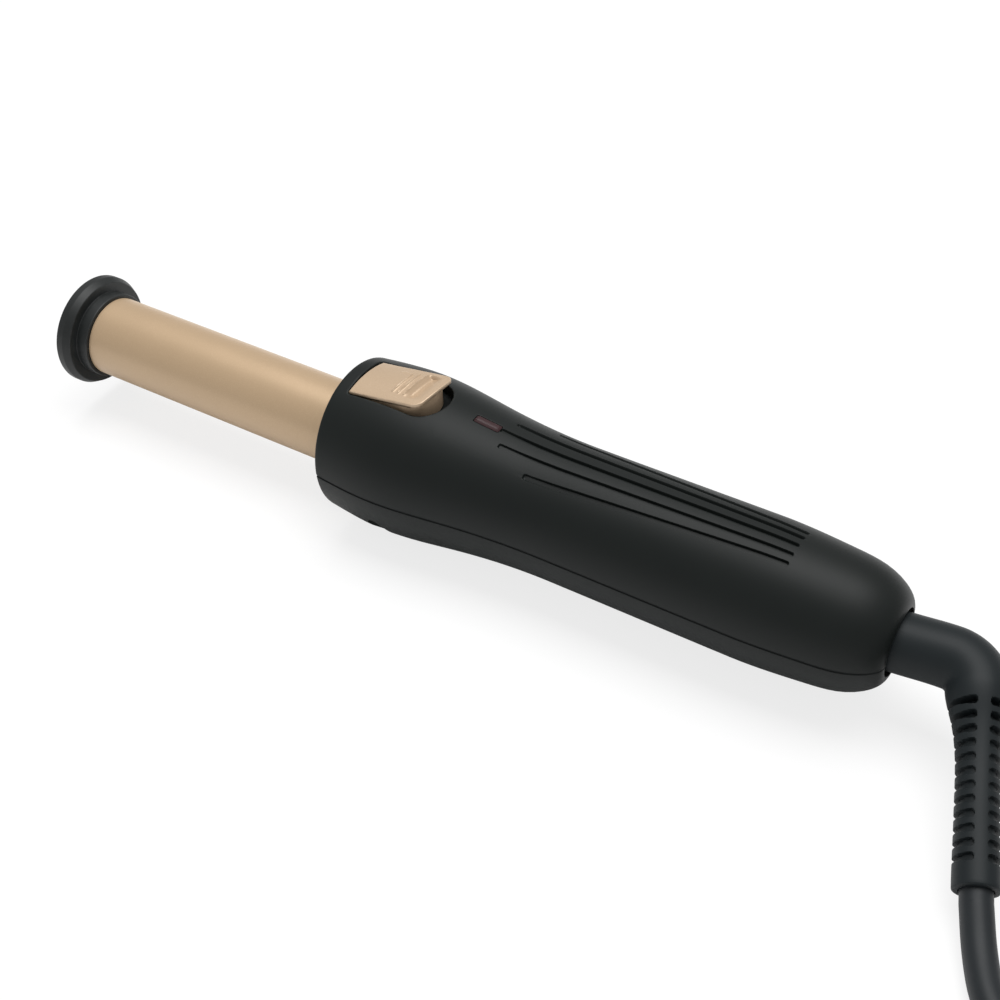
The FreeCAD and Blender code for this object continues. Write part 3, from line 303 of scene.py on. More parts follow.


# %% [markdown]
# ## The lead's sleeve
#
# The sleeve is a ring of points carried along the centre line. A curve's own bevel would do it too, but
# rings that are worked out keep their seam on one side.

# %% The lead as a round tube
def tube(line, radius, sides=20):
    """Rings of the given radius round a line that never runs upright, closed by a point at both ends.

    The ring's sideways direction is level, and its upward one is square to the line and to the first.
    """
    along = np.gradient(line, axis=0)
    along /= np.linalg.norm(along, axis=1)[:, None]
    across = np.cross([0, 0, 1], along)
    across /= np.linalg.norm(across, axis=1)[:, None]
    upward = np.cross(along, across)
    angle = np.linspace(0, 2 * np.pi, sides + 1)[:, None]
    rings = line[:, None] + radius * (across[:, None] * np.cos(angle) + upward[:, None] * np.sin(angle))
    ends = [np.repeat(line[end, None, None], sides + 1, 1) for end in (0, -1)]
    return np.concatenate([ends[0], rings, ends[1]])


cord = sew("lead", [tube(lead_line, CORD_R)], on_axis=False)


# %% [markdown]
# ## Turned pieces at the front
#
# The tip, the barrel and the ring where the barrel enters the handle are round. Each is a profile
# turned about the wand's axis. The corners carry small rounds because moulded and spun edges are never
# knife sharp, and a round of a few tenths of a millimetre is what catches the light.

# %% Tip
DISC_R, DISC_BACK_R, COLLAR_R, SPIGOT_R = 13.35, 12.5, 10.3, 8.4
COLLAR_FROM, SPIGOT_FROM, SPIGOT_TO = TIP + 3.7, TIP + 6.75, TIP + 15.75
tip_profile = rounded_profile([
    (TIP, 0, 0), (TIP, DISC_R, 0.35), (TIP + 2.0, DISC_R, 0.3), (COLLAR_FROM, DISC_BACK_R, 0.35),
    (COLLAR_FROM, COLLAR_R, 0.15), (SPIGOT_FROM, COLLAR_R, 0.3), (SPIGOT_FROM, SPIGOT_R, 0),
    (SPIGOT_TO, SPIGOT_R, 0), (SPIGOT_TO, 0, 0),
])
tip = sew("tip", [turned(tip_profile)], [corner_wear(tip_profile)])

# %% [markdown]
# ## Barrel
#
# The barrel is a drawn tube with a ceramic coat. Its profile runs out along the tube and back along the
# bore, and only its front edges are rounded, because its rear end is hidden in the handle. Stations at
# even distances give the long sheen enough points to stay straight.

# %% Barrel
BORE_R, BARREL_SIDES, STATIONS = 8.5, 128, 60
barrel_front, barrel_rear = barrel_low[0], barrel_high[0]
outside = np.column_stack([np.linspace(barrel_front, barrel_rear, STATIONS), np.full(STATIONS, BARREL_R)])
lip_profile = rounded_profile([
    (barrel_front + 2, BORE_R, 0), (barrel_front, BORE_R, 0.2), (barrel_front, BARREL_R, 0.3),
    (barrel_front + 2, BARREL_R, 0),
])
back = [[barrel_rear, BARREL_R], [barrel_rear, BORE_R], [barrel_front + 2, BORE_R]]
barrel_profile = np.concatenate([lip_profile, outside[3:-1], back])
barrel = sew("barrel", [turned(barrel_profile, BARREL_SIDES)], [corner_wear(barrel_profile, BARREL_SIDES)])

# %% [markdown]
# ## Front ring
#
# A heat-resistant ring fills the gap between the barrel and the handle's mouth. It is turned as the
# others are, and then its front stations move back by as much as the handle's leaning front does, so
# that it stands equally proud all round. Further in, the shift fades away.

# %% Front ring
RING_BORE, RING_R, RING_FLANGE_R = 9.6, 11.6, 12.7
RING_FACE, RING_FLANGE, RING_BACK, LEAN_DEPTH = FRONT - 0.6, FRONT + 3.4, FRONT + 4.6, 3.0
ring_profile = rounded_profile([
    (RING_BACK, RING_BORE, 0), (RING_FACE, RING_BORE, 0.25), (RING_FACE, RING_R, 0.35),
    (RING_FLANGE, RING_R, 0.1), (RING_FLANGE, RING_FLANGE_R, 0.2), (RING_BACK, RING_FLANGE_R, 0.2),
    (RING_BACK, RING_BORE, 0),
])
ring_sheet = turned(ring_profile)
leans = (FRONT_TOP - ring_sheet[:, :, 2]) * FRONT_LEAN
ring_sheet[:, :, 0] += leans * np.clip((FRONT + LEAN_DEPTH - ring_sheet[:, :, 0]) / LEAN_DEPTH, 0, 1)
ring = sew("collar", [ring_sheet], [corner_wear(ring_profile)])

for piece, node in ((tip, "tip_cap"), (barrel, "barrel_tube"), (ring, "front_ring")):
    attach(piece, "root")
    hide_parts(node)


# %% [markdown]
# ## The handle's outline
#
# The moulded handle swells behind its front edge, narrows to a grip and closes in a round end. Its
# outline is one smooth curve through a few chosen points. A toolmaker draws it the same way: the curve
# is level at the widest place and along the grip, and stands upright where it meets the rear hole.

# %% The outline as a piecewise cubic
SWELL = np.array([[0, FRONT_TOP], [15, 18.3], [33, 16.5], [56, 14.9], [98, 15.0], [113.5, 14.1],
                  [124.3, 11.3], [127.4, 7.2]])
HEADINGS = {1: (1, 0), 3: (1, 0), 4: (1, 0), 7: (0, -1)}


def smooth_curve(spots, headings, steps=80):
    """Points of a piecewise cubic through spots, in the chord lengths between them.

    Its heading at each free spot is solved so that the second derivative doesn't jump there, and is
    zero at a free first spot. Each run is then the cubic with the spots and headings of its two ends.
    """
    span = np.linalg.norm(np.diff(spots, axis=0), axis=1)
    count = len(spots)
    system, right = np.zeros((count, count)), np.zeros((count, 2))
    for n in range(count):
        if n in headings:
            system[n, n], right[n] = 1, headings[n]
        elif n == 0:
            system[0, :2], right[0] = (2, 1), 3 * (spots[1] - spots[0]) / span[0]
        else:
            before, after = 1 / span[n - 1], 1 / span[n]
            rise = (spots[n] - spots[n - 1]) * before ** 2 + (spots[n + 1] - spots[n]) * after ** 2
            system[n, n - 1:n + 2], right[n] = (before, 2 * (before + after), after), 3 * rise
    heading = np.linalg.solve(system, right)
    t = np.linspace(0, 1, steps + 1)[1:, None]
    runs = [spots[:1]]
    for n, length in enumerate(span):
        place = spots[n] * (2 * t ** 3 - 3 * t ** 2 + 1) + spots[n + 1] * (3 * t ** 2 - 2 * t ** 3)
        bow = heading[n] * (t ** 3 - 2 * t ** 2 + t) + heading[n + 1] * (t ** 3 - t ** 2)
        runs.append(place + length * bow)
    return np.concatenate(runs)


swell = smooth_curve(SWELL, HEADINGS)
HANDLE_LONG = swell[-1, 0]
print(f"outline: {len(swell)} points, widest {swell[:, 1].max():.3f} mm, the box says {BULGE_R:.3f}")


def swell_radius(along):
    """The handle's radius at a distance behind its front edge."""
    return np.interp(along, swell[:, 0], swell[:, 1])


# %% [markdown]
# ## Grip grooves
#
# Five shallow grooves fan out on the grip: one on the top line and two on each side. A groove is a
# capsule, which is everything within half a width of its middle line, so its ends are round by
# themselves. Its walls are steep but smooth, and it deepens over its first centimetre.

# %% Depth of the grooves below the surface
GROOVE_HALF, GROOVE_DEPTH, GROOVE_END, GROOVE_WALL = 0.55, 0.7, 105.2, 0.2
GROOVES = [(38.0, 0.0, 0.0), (39.9, 3.85, 1.2), (48.0, 7.55, 2.72)]


def groove_centre(along, start, offset, taper):
    """How far a groove's middle is from the top line: its offset, less a taper that grows to its end."""
    return offset - taper * np.clip((along - start) / (GROOVE_END - start), 0, 1.4)


def groove_depth(along, aside):
    """Depth at a point: full within each groove's capsule, eased to zero over the width of its wall."""
    depth = np.zeros(np.broadcast(along, aside).shape)
    for start, offset, taper in GROOVES:
        middle = groove_centre(along, start, offset, taper)
        over = along - np.clip(along, start + GROOVE_HALF, GROOVE_END - GROOVE_HALF)
        distance = np.hypot(over, np.abs(aside) - middle)
        deep = GROOVE_DEPTH * (0.7 + 0.3 * smooth((along - start) / 10))
        depth = np.maximum(depth, deep * smooth((GROOVE_HALF + 0.05 - distance) / GROOVE_WALL))
    return depth


print(f"grooves: {2 * len(GROOVES) - 1}, {groove_depth(80.0, 0.0):.2f} mm deep at full depth")

# %% [markdown]
# ## Sheets of a shell
#
# Each shell is an outer and an inner sheet with the same number of rows, so that their edges can be
# joined by plain strips. Rows are stations along the handle and columns are angles from its top or
# bottom line. Rows and columns crowd together where something small has to be drawn. Near the front all
# points move back by the lean of the front end.

# %% Rows and columns of one shell
WALL, FRONT_WALL, MOUTH_R, HOLE_R, SEAT_R = 2.2, 3.4, 11.7, 7.2, 8.7
REAR_WALL, HOLE_DEEP = 6.4, 2.4
FRONT_ROUND, FRONT_ARC = 0.5, np.radians(np.linspace(0, 90, 5))
LEAN_FADES = 12
PARTING = np.array([0.6, 0.42, 0.34, 0.30, 0.26, 0.20, 0.10, 0.0])
PARTING_STEP = 0.25


def stations(*runs):
    """Distances behind the front edge and radii there: a rounded edge, the given runs, the round end."""
    along = np.concatenate([FRONT_ROUND * (1 - np.cos(FRONT_ARC)), *runs])
    radius = swell_radius(along)
    radius[:len(FRONT_ARC)] -= FRONT_ROUND * (1 - np.sin(FRONT_ARC))
    last = swell[swell[:, 0] > along[-1] + 0.8][::12]
    last = last if np.allclose(last[-1], swell[-1]) else np.concatenate([last, swell[-1:]])
    return np.concatenate([along, last[:, 0]]), np.concatenate([radius, last[:, 1]])


def inner_stations(count, *runs):
    """As many stations for the inside: the ring's mouth, the hollow with the given runs, the bush's seat."""
    given = np.concatenate(runs) if runs else np.zeros(0)
    seat, hole = HANDLE_LONG - REAR_WALL, HANDLE_LONG - HOLE_DEEP
    rest = np.linspace(given[-1] + 1.5 if len(given) else 5.0, seat, count - len(given) - 6)
    along = np.concatenate([[0, FRONT_WALL, FRONT_WALL], given, rest, [seat, hole, hole]])
    radius = swell_radius(along) - WALL
    radius[:2], radius[-3:] = MOUTH_R, [SEAT_R, SEAT_R, HOLE_R]
    return along, radius


def bent(along, radius, angle, side):
    """Points at a distance behind the front, a radius and an angle from the top (or bottom) line.

    The front plane leans, so stations near it move back by the lean times the drop below its top.
    """
    height = side * radius * np.cos(angle)
    back = (FRONT_TOP - height) * FRONT_LEAN * np.clip(1 - along / LEAN_FADES, 0, 1)
    return np.stack([FRONT + along + back, radius * np.sin(angle), height], -1)


def both_sides(half, sign=-1):
    """Mirrors columns that start at the middle line: angles change their sign, radii keep it."""
    return np.concatenate([sign * half[:, :0:-1], half], 1)


def parted(angle):
    """How far the last columns sink at the parting edge, which draws the fine line between the shells."""
    inset = np.zeros(angle.shape)
    inset[:, -len(PARTING):] = PARTING_STEP * smooth((0.34 - PARTING) / 0.12)
    return inset


print("parting line:", PARTING_STEP, "mm deep on each shell's edge")


# %% [markdown]
# ## Openings in a shell
#
# The switch's pocket, the lens's slot and the screw wells are true openings. The sheet leaves out a
# block of faces there. Rings of points lead from the block's border over the surface to the opening's
# outline, round its edge and down its wall. A Boolean would cut the same holes, but it leaves slivers
# along the curved surface, and these rings stay clean.

# %% Borders, outlines and rings of an opening
def border(first, last, low, high):
    """Row and column numbers round a block of the grid, closed, starting at its first row."""
    rows, columns = np.arange(first, last + 1), np.arange(low, high + 1)
    across, down = len(columns) - 1, len(rows) - 1
    i = np.concatenate([np.full(across, first), rows[:-1], np.full(across, last), rows[:0:-1], [first]])
    j = np.concatenate([columns[:-1], np.full(down, high), columns[:0:-1], np.full(down, low), [low]])
    return i, j


def rounded_box(spots, low, high, front_round, rear_round):
    """The nearest points on a rounded box's outline, and the direction from the outline to each spot."""
    round_at = np.where(spots[:, 0] > high[0] - rear_round, rear_round, front_round)
    core = np.stack([np.clip(spots[:, 0], low[0] + front_round, high[0] - rear_round),
                     np.clip(spots[:, 1], low[1] + round_at, high[1] - round_at)], 1)
    way = spots - core
    way /= np.linalg.norm(way, axis=1)[:, None]
    return core + way * round_at[:, None], way


def surface_height(spots, side):
    """The height of the handle's surface above or below a plan point."""
    radius = swell_radius(spots[:, 0] - FRONT)
    return side * np.sqrt(radius ** 2 - spots[:, 1] ** 2)


def level_ring(plan, height):
    """A ring of points over plan places, all at one height."""
    return np.column_stack([plan, np.full(len(plan), height)])


def opening(loop, rim, way, edge, side):
    """Rings from a block's border over the surface and round the opening's edge of the given radius."""
    brink = rim + way * edge
    rings = [loop]
    for share in (0.35, 0.65, 0.88, 1.0):
        plan = loop[:, :2] + (brink - loop[:, :2]) * share
        depth = groove_depth(plan[:, 0] - FRONT, plan[:, 1]) if side > 0 else 0
        rings.append(np.column_stack([plan, surface_height(plan, side) - side * depth]))
    for angle in np.radians([30, 60, 90]):
        plan = rim + way * edge * (1 - math.sin(angle))
        sunk = edge * (1 - math.cos(angle))
        rings.append(np.column_stack([plan, surface_height(plan, side) - side * sunk]))
    return rings


def shell(name, outer, inner, blocks, inner_blocks, extra):
    """A shell from its outer and inner grids: both sheets, their joining strips, and the openings' rings."""
    faces = (outer.shape[0] - 1, outer.shape[1] - 1)
    keep_outer, keep_inner = np.ones(faces, bool), np.ones(faces, bool)
    for first, last, low, high in blocks:
        keep_outer[first:last, low:high] = False
    for first, last, low, high in inner_blocks:
        keep_inner[first:last, low:high] = False
    ends = [np.stack([outer[row], inner[row]]) for row in (0, -1)]
    edges = [np.stack([outer[:, column], inner[:, column]]) for column in (0, -1)]
    sheets = [outer, inner, *ends, *edges, *extra]
    wear = [np.zeros(sheet.shape[:2]) for sheet in sheets]
    wear[0][1:4] = 0.8
    for ring_wear in wear[6:]:
        ring_wear[4:8] = 0.6
    return sew(name, sheets, wear, keep=[keep_outer, keep_inner] + [None] * (len(sheets) - 2), sharp=40)


# %% [markdown]
# ## The upper shell: its outside
#
# The rows crowd at the grooves' starts and ends, and run evenly through the pocket and the lens's slot,
# where a block of faces will be left out. The columns follow the grooves' middle lines, close together
# at each wall, and then run on evenly down to the parting edge.

# %% Outer sheet of the upper shell
POCKET_ROW, POCKET_ROWS, LENS_ROW, LENS_ROWS = 6, 26, 36, 12
pocket_run, lens_run = np.linspace(1.9, 27.1, POCKET_ROWS + 1), np.linspace(30.4, 39.2, LENS_ROWS + 1)
end_run = np.array([-0.2, 0, 0.05, 0.1, 0.2, 0.35, 0.55, 0.9])
grip_run = np.linspace(50.5, 103.5, 34)
along, radius = stations([1.2], pocket_run, [28.0, 28.8, 29.6], lens_run, GROOVES[1][0] + end_run,
                         [42, 44, 46], GROOVES[2][0] + end_run, grip_run, GROOVE_END - end_run[::-1])

walls = np.array([0, 0.2, 0.40, 0.46, 0.51, 0.56, 0.60, 0.66])
fan = np.concatenate([-walls[:0:-1], walls])
centres = [groove_centre(along, *groove)[:, None] for groove in GROOVES]
near, middle, far = walls[None] + 0 * centres[0], centres[1] + fan, centres[2] + fan
first_gap = near[:, -1:] + np.array([[0.2, 0.45, 0.75]]) * (middle[:, :1] - near[:, -1:])
second_gap = middle[:, -1:] + np.array([[0.25, 0.5, 0.75]]) * (far[:, :1] - middle[:, -1:])
aside = np.concatenate([near, first_gap, middle, second_gap, far, far[:, -1:] + 0.45], 1)
LENS_COLUMN, POCKET_COLUMN = len(walls) + 2, aside.shape[1] - 1

angle = np.arcsin(np.clip(aside / radius[:, None], 0, 0.98))
edge_angle = np.pi / 2 - PARTING[None] / radius[:, None]
share = np.linspace(0, 1, 18)[None, 1:-1]
angle = np.concatenate([angle, angle[:, -1:] + share * (edge_angle[:, :1] - angle[:, -1:]), edge_angle], 1)
depth = groove_depth(along[:, None], radius[:, None] * np.sin(angle))
outer_radius = both_sides(radius[:, None] - parted(angle) - depth, 1)
outer = bent(along[:, None], outer_radius, both_sides(angle), 1)
MIDDLE = angle.shape[1] - 1
print("upper shell, outer sheet:", outer.shape[:2])

# %% [markdown]
# ## The upper shell: its inside
#
# The inner sheet has the same rows and columns. Its rows and columns at the pocket and the lens's slot
# lie where those openings come through the wall. Under the pocket the wall is a flat floor, through
# which the knob's stem passes.

# %% Inner sheet of the upper shell
POCKET_FLOOR, POCKET_UNDER, BLOCK_HALF = 14.2, 13.0, 8.25
LENS_FRONT, LENS_REAR, LENS_HALF = 32.0, 38.2, 1.1
SLOT_FRONT, SLOT_REAR, SLOT_HALF = 7.5, 18.5, 2.3
slot_run = np.linspace(SLOT_FRONT, SLOT_REAR, POCKET_ROWS + 1)
hole_run = np.linspace(LENS_FRONT, LENS_REAR, LENS_ROWS + 1)
floor_run = [27.09, 27.11, 29.5]
inner_along, inner_radius = inner_stations(len(along), [4.2, 5.4, 6.6], slot_run, floor_run, hole_run)

steps = np.arange(POCKET_COLUMN + 1)
inside = np.interp(steps, [0, LENS_COLUMN, POCKET_COLUMN], [0, LENS_HALF, SLOT_HALF])
inside = np.concatenate([inside, [5.3, BLOCK_HALF - 0.01, BLOCK_HALF + 0.01]])
inside = inside[None] * np.minimum(1, inner_radius / MOUTH_R)[:, None]
inner_angle = np.arcsin(inside / inner_radius[:, None])
share = np.linspace(0, 1, angle.shape[1] - inside.shape[1] + 1)[None, 1:]
rest = inner_angle[:, -1:] + share * (np.pi / 2 - inner_angle[:, -1:])
inner_angle = both_sides(np.concatenate([inner_angle, rest], 1))
inner = bent(inner_along[:, None], np.broadcast_to(inner_radius[:, None], inner_angle.shape), inner_angle, 1)
by_pocket = ((inner_along > 3) & (inner_along < 27.1))[:, None]
under_pocket = (np.abs(inner[..., 1]) < BLOCK_HALF) & by_pocket
under_pocket[:2] = False
inner[..., 2] = np.where(under_pocket, POCKET_UNDER, inner[..., 2])
print("upper shell, inner sheet:", inner.shape[:2])

# %% [markdown]
# ## The upper shell: pocket and lens slot
#
# The pocket is a box with a square front and a round rear end, 2 mm longer than the knob so that the
# knob can slide. Its floor has a slot for the stem. The lens's slot goes straight through the wall, and
# its edge has a smaller round.

# %% Pocket, lens slot and the upper shell
POCKET_HALF, POCKET_AHEAD, POCKET_BEHIND = 6.45, 0.5, 2.5
pocket_block = (POCKET_ROW, POCKET_ROW + POCKET_ROWS, MIDDLE - POCKET_COLUMN, MIDDLE + POCKET_COLUMN)
lens_block = (LENS_ROW, LENS_ROW + LENS_ROWS, MIDDLE - LENS_COLUMN, MIDDLE + LENS_COLUMN)

loop, slot_loop = outer[border(*pocket_block)], inner[border(*pocket_block)]
pocket_low = np.array([knob_low[0] - POCKET_AHEAD, -POCKET_HALF])
pocket_high = np.array([knob_high[0] + POCKET_BEHIND, POCKET_HALF])
rim, way = rounded_box(loop[:, :2], pocket_low, pocket_high, 0.8, POCKET_HALF)
pocket = opening(loop, rim, way, 0.3, 1)
pocket += [level_ring(rim, POCKET_FLOOR), level_ring(slot_loop[:, :2], POCKET_FLOOR), slot_loop]

loop, lens_loop = outer[border(*lens_block)], inner[border(*lens_block)]
lens_low = np.array([FRONT + LENS_FRONT, -LENS_HALF])
lens_high = np.array([FRONT + LENS_REAR, LENS_HALF])
rim, way = rounded_box(loop[:, :2], lens_low, lens_high, 0.3, 0.3)
lens_slot = opening(loop, rim, way, 0.12, 1)
lens_slot += [np.column_stack([rim, surface_height(rim, 1) - 1.4]), lens_loop]

upper_blocks = [pocket_block, lens_block]
upper_openings = [np.stack(pocket), np.stack(lens_slot)]
upper = shell("upper_shell", outer, inner, upper_blocks, upper_blocks, upper_openings)

# %% [markdown]
# ## The lower shell
#
# It mirrors the upper one without its openings, and has three round wells for the screws that hold the
# two shells together. Its rows and columns are close together where the wells are, and each well is a
# block of faces left out, with rings down to the seat of the screw.

# %% Sheets of the lower shell
SIDE_WELL, REAR_WELL, SIDE_ASIDE, WELL_ROWS = 15.0, 88.0, 14.3, 12
SIDE_ROW, REAR_ROW = 10, 59
side_run, rear_run = np.linspace(11.0, 19.0, WELL_ROWS + 1), np.linspace(84.4, 91.6, WELL_ROWS + 1)
grip_run = np.linspace(20.5, 83, 36)
along, radius = stations([1.2, 3, 5, 7, 9], side_run, grip_run, rear_run, np.linspace(93, 105, 8))
fine_columns = [np.linspace(0, 13.6, 7), np.linspace(17, 31, 5), np.linspace(35, 72, 14), [76, 80, 84]]
angle = np.radians(np.concatenate(fine_columns))
angle = np.broadcast_to(angle, (len(along), len(angle)))
angle = np.concatenate([angle, np.pi / 2 - PARTING[None] / radius[:, None]], 1)
outer = bent(along[:, None], both_sides(radius[:, None] - parted(angle), 1), both_sides(angle), -1)
inner_along, inner_radius = inner_stations(len(along))
inner_angle = both_sides(angle)
inner = bent(inner_along[:, None], np.broadcast_to(inner_radius[:, None], inner_angle.shape), inner_angle, -1)
MIDDLE = angle.shape[1] - 1
print("lower shell, outer and inner sheets:", outer.shape[:2], inner.shape[:2])

# %% [markdown]
# ## Screw wells
#
# The two front screws sit beside the switch and the third sits far back on the bottom line. A well's
# last ring shrinks to a point, which closes its seat.

# %% Wells and the lower shell
WELL_R, WELL_SEAT = 2.4, -5.4
side_rows, rear_rows = (SIDE_ROW, SIDE_ROW + WELL_ROWS), (REAR_ROW, REAR_ROW + WELL_ROWS)
well_blocks = [(*rear_rows, MIDDLE - 6, MIDDLE + 6), (*side_rows, MIDDLE + 12, MIDDLE + 25),
               (*side_rows, MIDDLE - 25, MIDDLE - 12)]
well_places = [(REAR_WELL, 0), (SIDE_WELL, SIDE_ASIDE), (SIDE_WELL, -SIDE_ASIDE)]
wells = []
for block, (behind, beside) in zip(well_blocks, well_places):
    loop = outer[border(*block)]
    centre = np.array([FRONT + behind, beside])
    rim, way = rounded_box(loop[:, :2], centre - WELL_R, centre + WELL_R, WELL_R, WELL_R)
    well = opening(loop, rim, way, 0.2, -1)
    well += [level_ring(rim, WELL_SEAT), level_ring(centre + 0 * rim, WELL_SEAT)]
    wells.append(np.stack(well))
lower = shell("lower_shell", outer, inner, well_blocks, [], wells)

for piece, node in ((upper, "handle_upper_shell"), (lower, "handle_lower_shell")):
    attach(piece, "root")
    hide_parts(node)


# %% [markdown]
# ## Switch knob
#
# The knob is a lacquered moulding. Its top starts level with the handle and rises to a lip that the
# thumb pushes. Three fine ribs cross it, and a hollow in front of the lip takes the thumb. The top is a
# height over a plan, so each feature is one more term in a sum: a rib is a narrow bell curve, and the
# hollow is a product of eased steps. Ribs and hollow lie a little askew, as on the real moulding.

# %% The knob's top as a height
KNOB_FRONT, KNOB_REAR, KNOB_HALF = knob_low[0], knob_high[0], 5.95
KNOB_LONG = KNOB_REAR - KNOB_FRONT
RISE_FROM, RISE_TO, CROWN_LOSS, SKEW = 17.65, 20.25, 0.35, 0.09
RIBS = [(9.85, -3.7, 3.4), (11.35, -3.85, 4.1), (12.9, -3.95, 4.7)]
RIB_WIDE, RIB_HIGH, RIB_ENDS = 0.22, 0.36, 0.35
HOLLOW_FRONT, HOLLOW_REAR, HOLLOW_NEAR, HOLLOW_FAR, HOLLOW_DEEP = 13.0, 17.6, -4.6, 4.75, 0.9


def knob_surface(along, aside, below=0.0):
    """The rising round surface: its top line climbs evenly to the lip, and its crown gets flatter there."""
    radius = RISE_FROM + (RISE_TO - RISE_FROM) * along / KNOB_LONG
    flatter = CROWN_LOSS * smooth(along / KNOB_LONG)
    return radius - (radius - np.sqrt(radius ** 2 - aside ** 2)) * (1 - flatter) - below


def knob_height(along, aside):
    """The surface, plus three ribs with short ends and a fine line on the far side, less the hollow."""
    askew = along - SKEW * aside
    ribs = 0
    for place, near, far in RIBS:
        ends = smooth((aside - near) / RIB_ENDS) * smooth((far - aside) / RIB_ENDS)
        ribs = ribs + RIB_HIGH * np.exp(-((askew - place) / RIB_WIDE) ** 2) * ends
    line_ends = smooth((along - 6.8) / 0.4) * smooth((9.6 - along) / 0.4)
    line = 0.12 * np.exp(-((aside - 3.6) / 0.2) ** 2) * line_ends
    across = smooth((aside - HOLLOW_NEAR) / 2.2) * smooth((HOLLOW_FAR - aside) / 0.6)
    hollow = smooth((askew - HOLLOW_FRONT) / 1.2) * smooth((HOLLOW_REAR - askew) / 3.4)
    return knob_surface(along, aside) + ribs + line - HOLLOW_DEEP * hollow * across


print(f"knob: rises from {RISE_FROM} to {RISE_TO} mm over {KNOB_LONG:.1f} mm")


# %% [markdown]
# ## The knob's plan
#
# Seen from above, the front edge is nearly straight and the rear edge bulges and has rounded corners.
# The grid of the top runs from one to the other, with its columns closer together at the sides, where
# the edge rounds over.

# %% The knob's plan and top sheet
ROUND = 0.2


def knob_rear_edge(aside):
    """The station of the rear edge: it sits a little askew, bulges by 0.5 mm and has corners of 1.8 mm."""
    corner, bulge, askew = 1.8, 0.5, 0.11
    over = np.clip(np.abs(aside) - (KNOB_HALF - corner), 0, corner)
    rounding = corner - np.sqrt(corner ** 2 - over ** 2)
    return KNOB_REAR + askew * aside - bulge * (aside / KNOB_HALF) ** 2 - rounding


sideways = np.sin(np.linspace(-np.pi / 2, np.pi / 2, 61)) * 0.35 + np.linspace(-1, 1, 61) * 0.65
sideways = KNOB_HALF * sideways / sideways[-1]
front_edge, rear_edge = KNOB_FRONT + 0.06 * sideways, knob_rear_edge(sideways)
plan_x = front_edge + np.linspace(0, 1, 150)[:, None] * (rear_edge - front_edge)
plan_y = np.broadcast_to(sideways, plan_x.shape)
middle_x = (KNOB_FRONT + KNOB_REAR) / 2
top_x = middle_x + (plan_x - middle_x) * (1 - ROUND / 9)
top_y = plan_y * (1 - ROUND / KNOB_HALF)
top_z = knob_height(top_x - KNOB_FRONT, top_y)
top = np.stack([top_x, top_y, top_z], -1)
edge_at = border(0, plan_x.shape[0] - 1, 0, plan_x.shape[1] - 1)
outline, brink = np.column_stack([plan_x[edge_at], plan_y[edge_at]]), top[edge_at]
print("knob's top:", top.shape[:2], "points")

# %% [markdown]
# ## The knob's sides
#
# Rings lead down from the top's edge: over a small round, down the thin lip, in to the narrower body that
# slides in the pocket, and down to the stem that goes through the pocket's floor. The ribs and the edge
# carry the wear, because that is where a thumb rubs the lacquer off.

# %% Lip, body and stem
LIP, FOOT_Z, STEM_Z = 0.8, 14.5, 12.6
BODY_HALF, STEM_HALF, STEM_FROM, STEM_TO = 5.7, 2.2, 4.0, 12.0


def knob_ring(plan, below):
    """A ring of points at plan places, a distance below the rising round surface."""
    return np.column_stack([plan, knob_surface(plan[:, 0] - KNOB_FRONT, plan[:, 1], below)])


rings = [brink]
for turn in np.radians([30, 60, 90]):
    plan = brink[:, :2] + (outline - brink[:, :2]) * math.sin(turn)
    rings.append(knob_ring(plan, ROUND * (1 - math.cos(turn))))
rings += [knob_ring(outline, below) for below in (0.6, 0.9, LIP - 0.15)]
body_low = np.array([KNOB_FRONT + 0.02, -BODY_HALF])
body_high = np.array([KNOB_REAR - 0.1, BODY_HALF])
foot = rounded_box(outline + (outline - [middle_x, 0]) * 0.2, body_low, body_high, 0.4, BODY_HALF)[0]
stem_low = np.array([KNOB_FRONT + STEM_FROM, -STEM_HALF])
stem_high = np.array([KNOB_FRONT + STEM_TO, STEM_HALF])
stem = rounded_box(outline, stem_low, stem_high, 0.2, 0.2)[0]
rings += [knob_ring(outline + (foot - outline) * 0.2, LIP), knob_ring(foot, LIP)]
rings += [level_ring(foot, FOOT_Z), level_ring(stem, FOOT_Z), level_ring(stem, STEM_Z)]
rings += [level_ring((stem_low + stem_high) / 2 + 0 * stem, STEM_Z)]
rings = np.stack(rings)
raised = top_z - knob_surface(top_x - KNOB_FRONT, top_y)
ring_wear = np.zeros(rings.shape[:2])
ring_wear[1:4] = 0.7
knob = sew("knob", [top, rings], [np.clip(raised / RIB_HIGH, 0, 1), ring_wear])
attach(knob, "slider")
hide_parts("slide_knob")


# %% [markdown]
# ## Indicator lens
#
# A small bar of red plastic fills its slot and stands a little proud of the handle, with bevelled
# edges. Below the wall it spreads into a flange that holds it from the inside. Rings go from the middle
# of the flange's underside outwards, up round the bar and in again to a line along its top.

# %% Lens
BAR_HALF, BAR_GAP, PROUD, BEVEL, FLANGE_THICK = 1.0, 0.1, 0.28, 0.42, 0.8
lens_box_low, lens_box_high = box_mm("lamp_lens")
bar_low = np.array([FRONT + LENS_FRONT + BAR_GAP, -BAR_HALF])
bar_high = np.array([FRONT + LENS_REAR - BAR_GAP, BAR_HALF])
bar_middle = (bar_low[0] + bar_high[0]) / 2
turn = np.linspace(0, 2 * np.pi, 121)
around = np.column_stack([bar_middle + 6 * np.cos(turn), 4 * np.sin(turn)])
bar, way = rounded_box(around, bar_low, bar_high, 0.35, 0.35)
flange = rounded_box(around, lens_box_low[:2], lens_box_high[:2], 0.3, 0.3)[0]
flange_low = lens_box_low[2] - AXIS_Z
flange_high = flange_low + FLANGE_THICK
spine = np.column_stack([np.clip(bar[:, 0], bar_low[0] + 1, bar_high[0] - 1), 0 * bar[:, 1]])
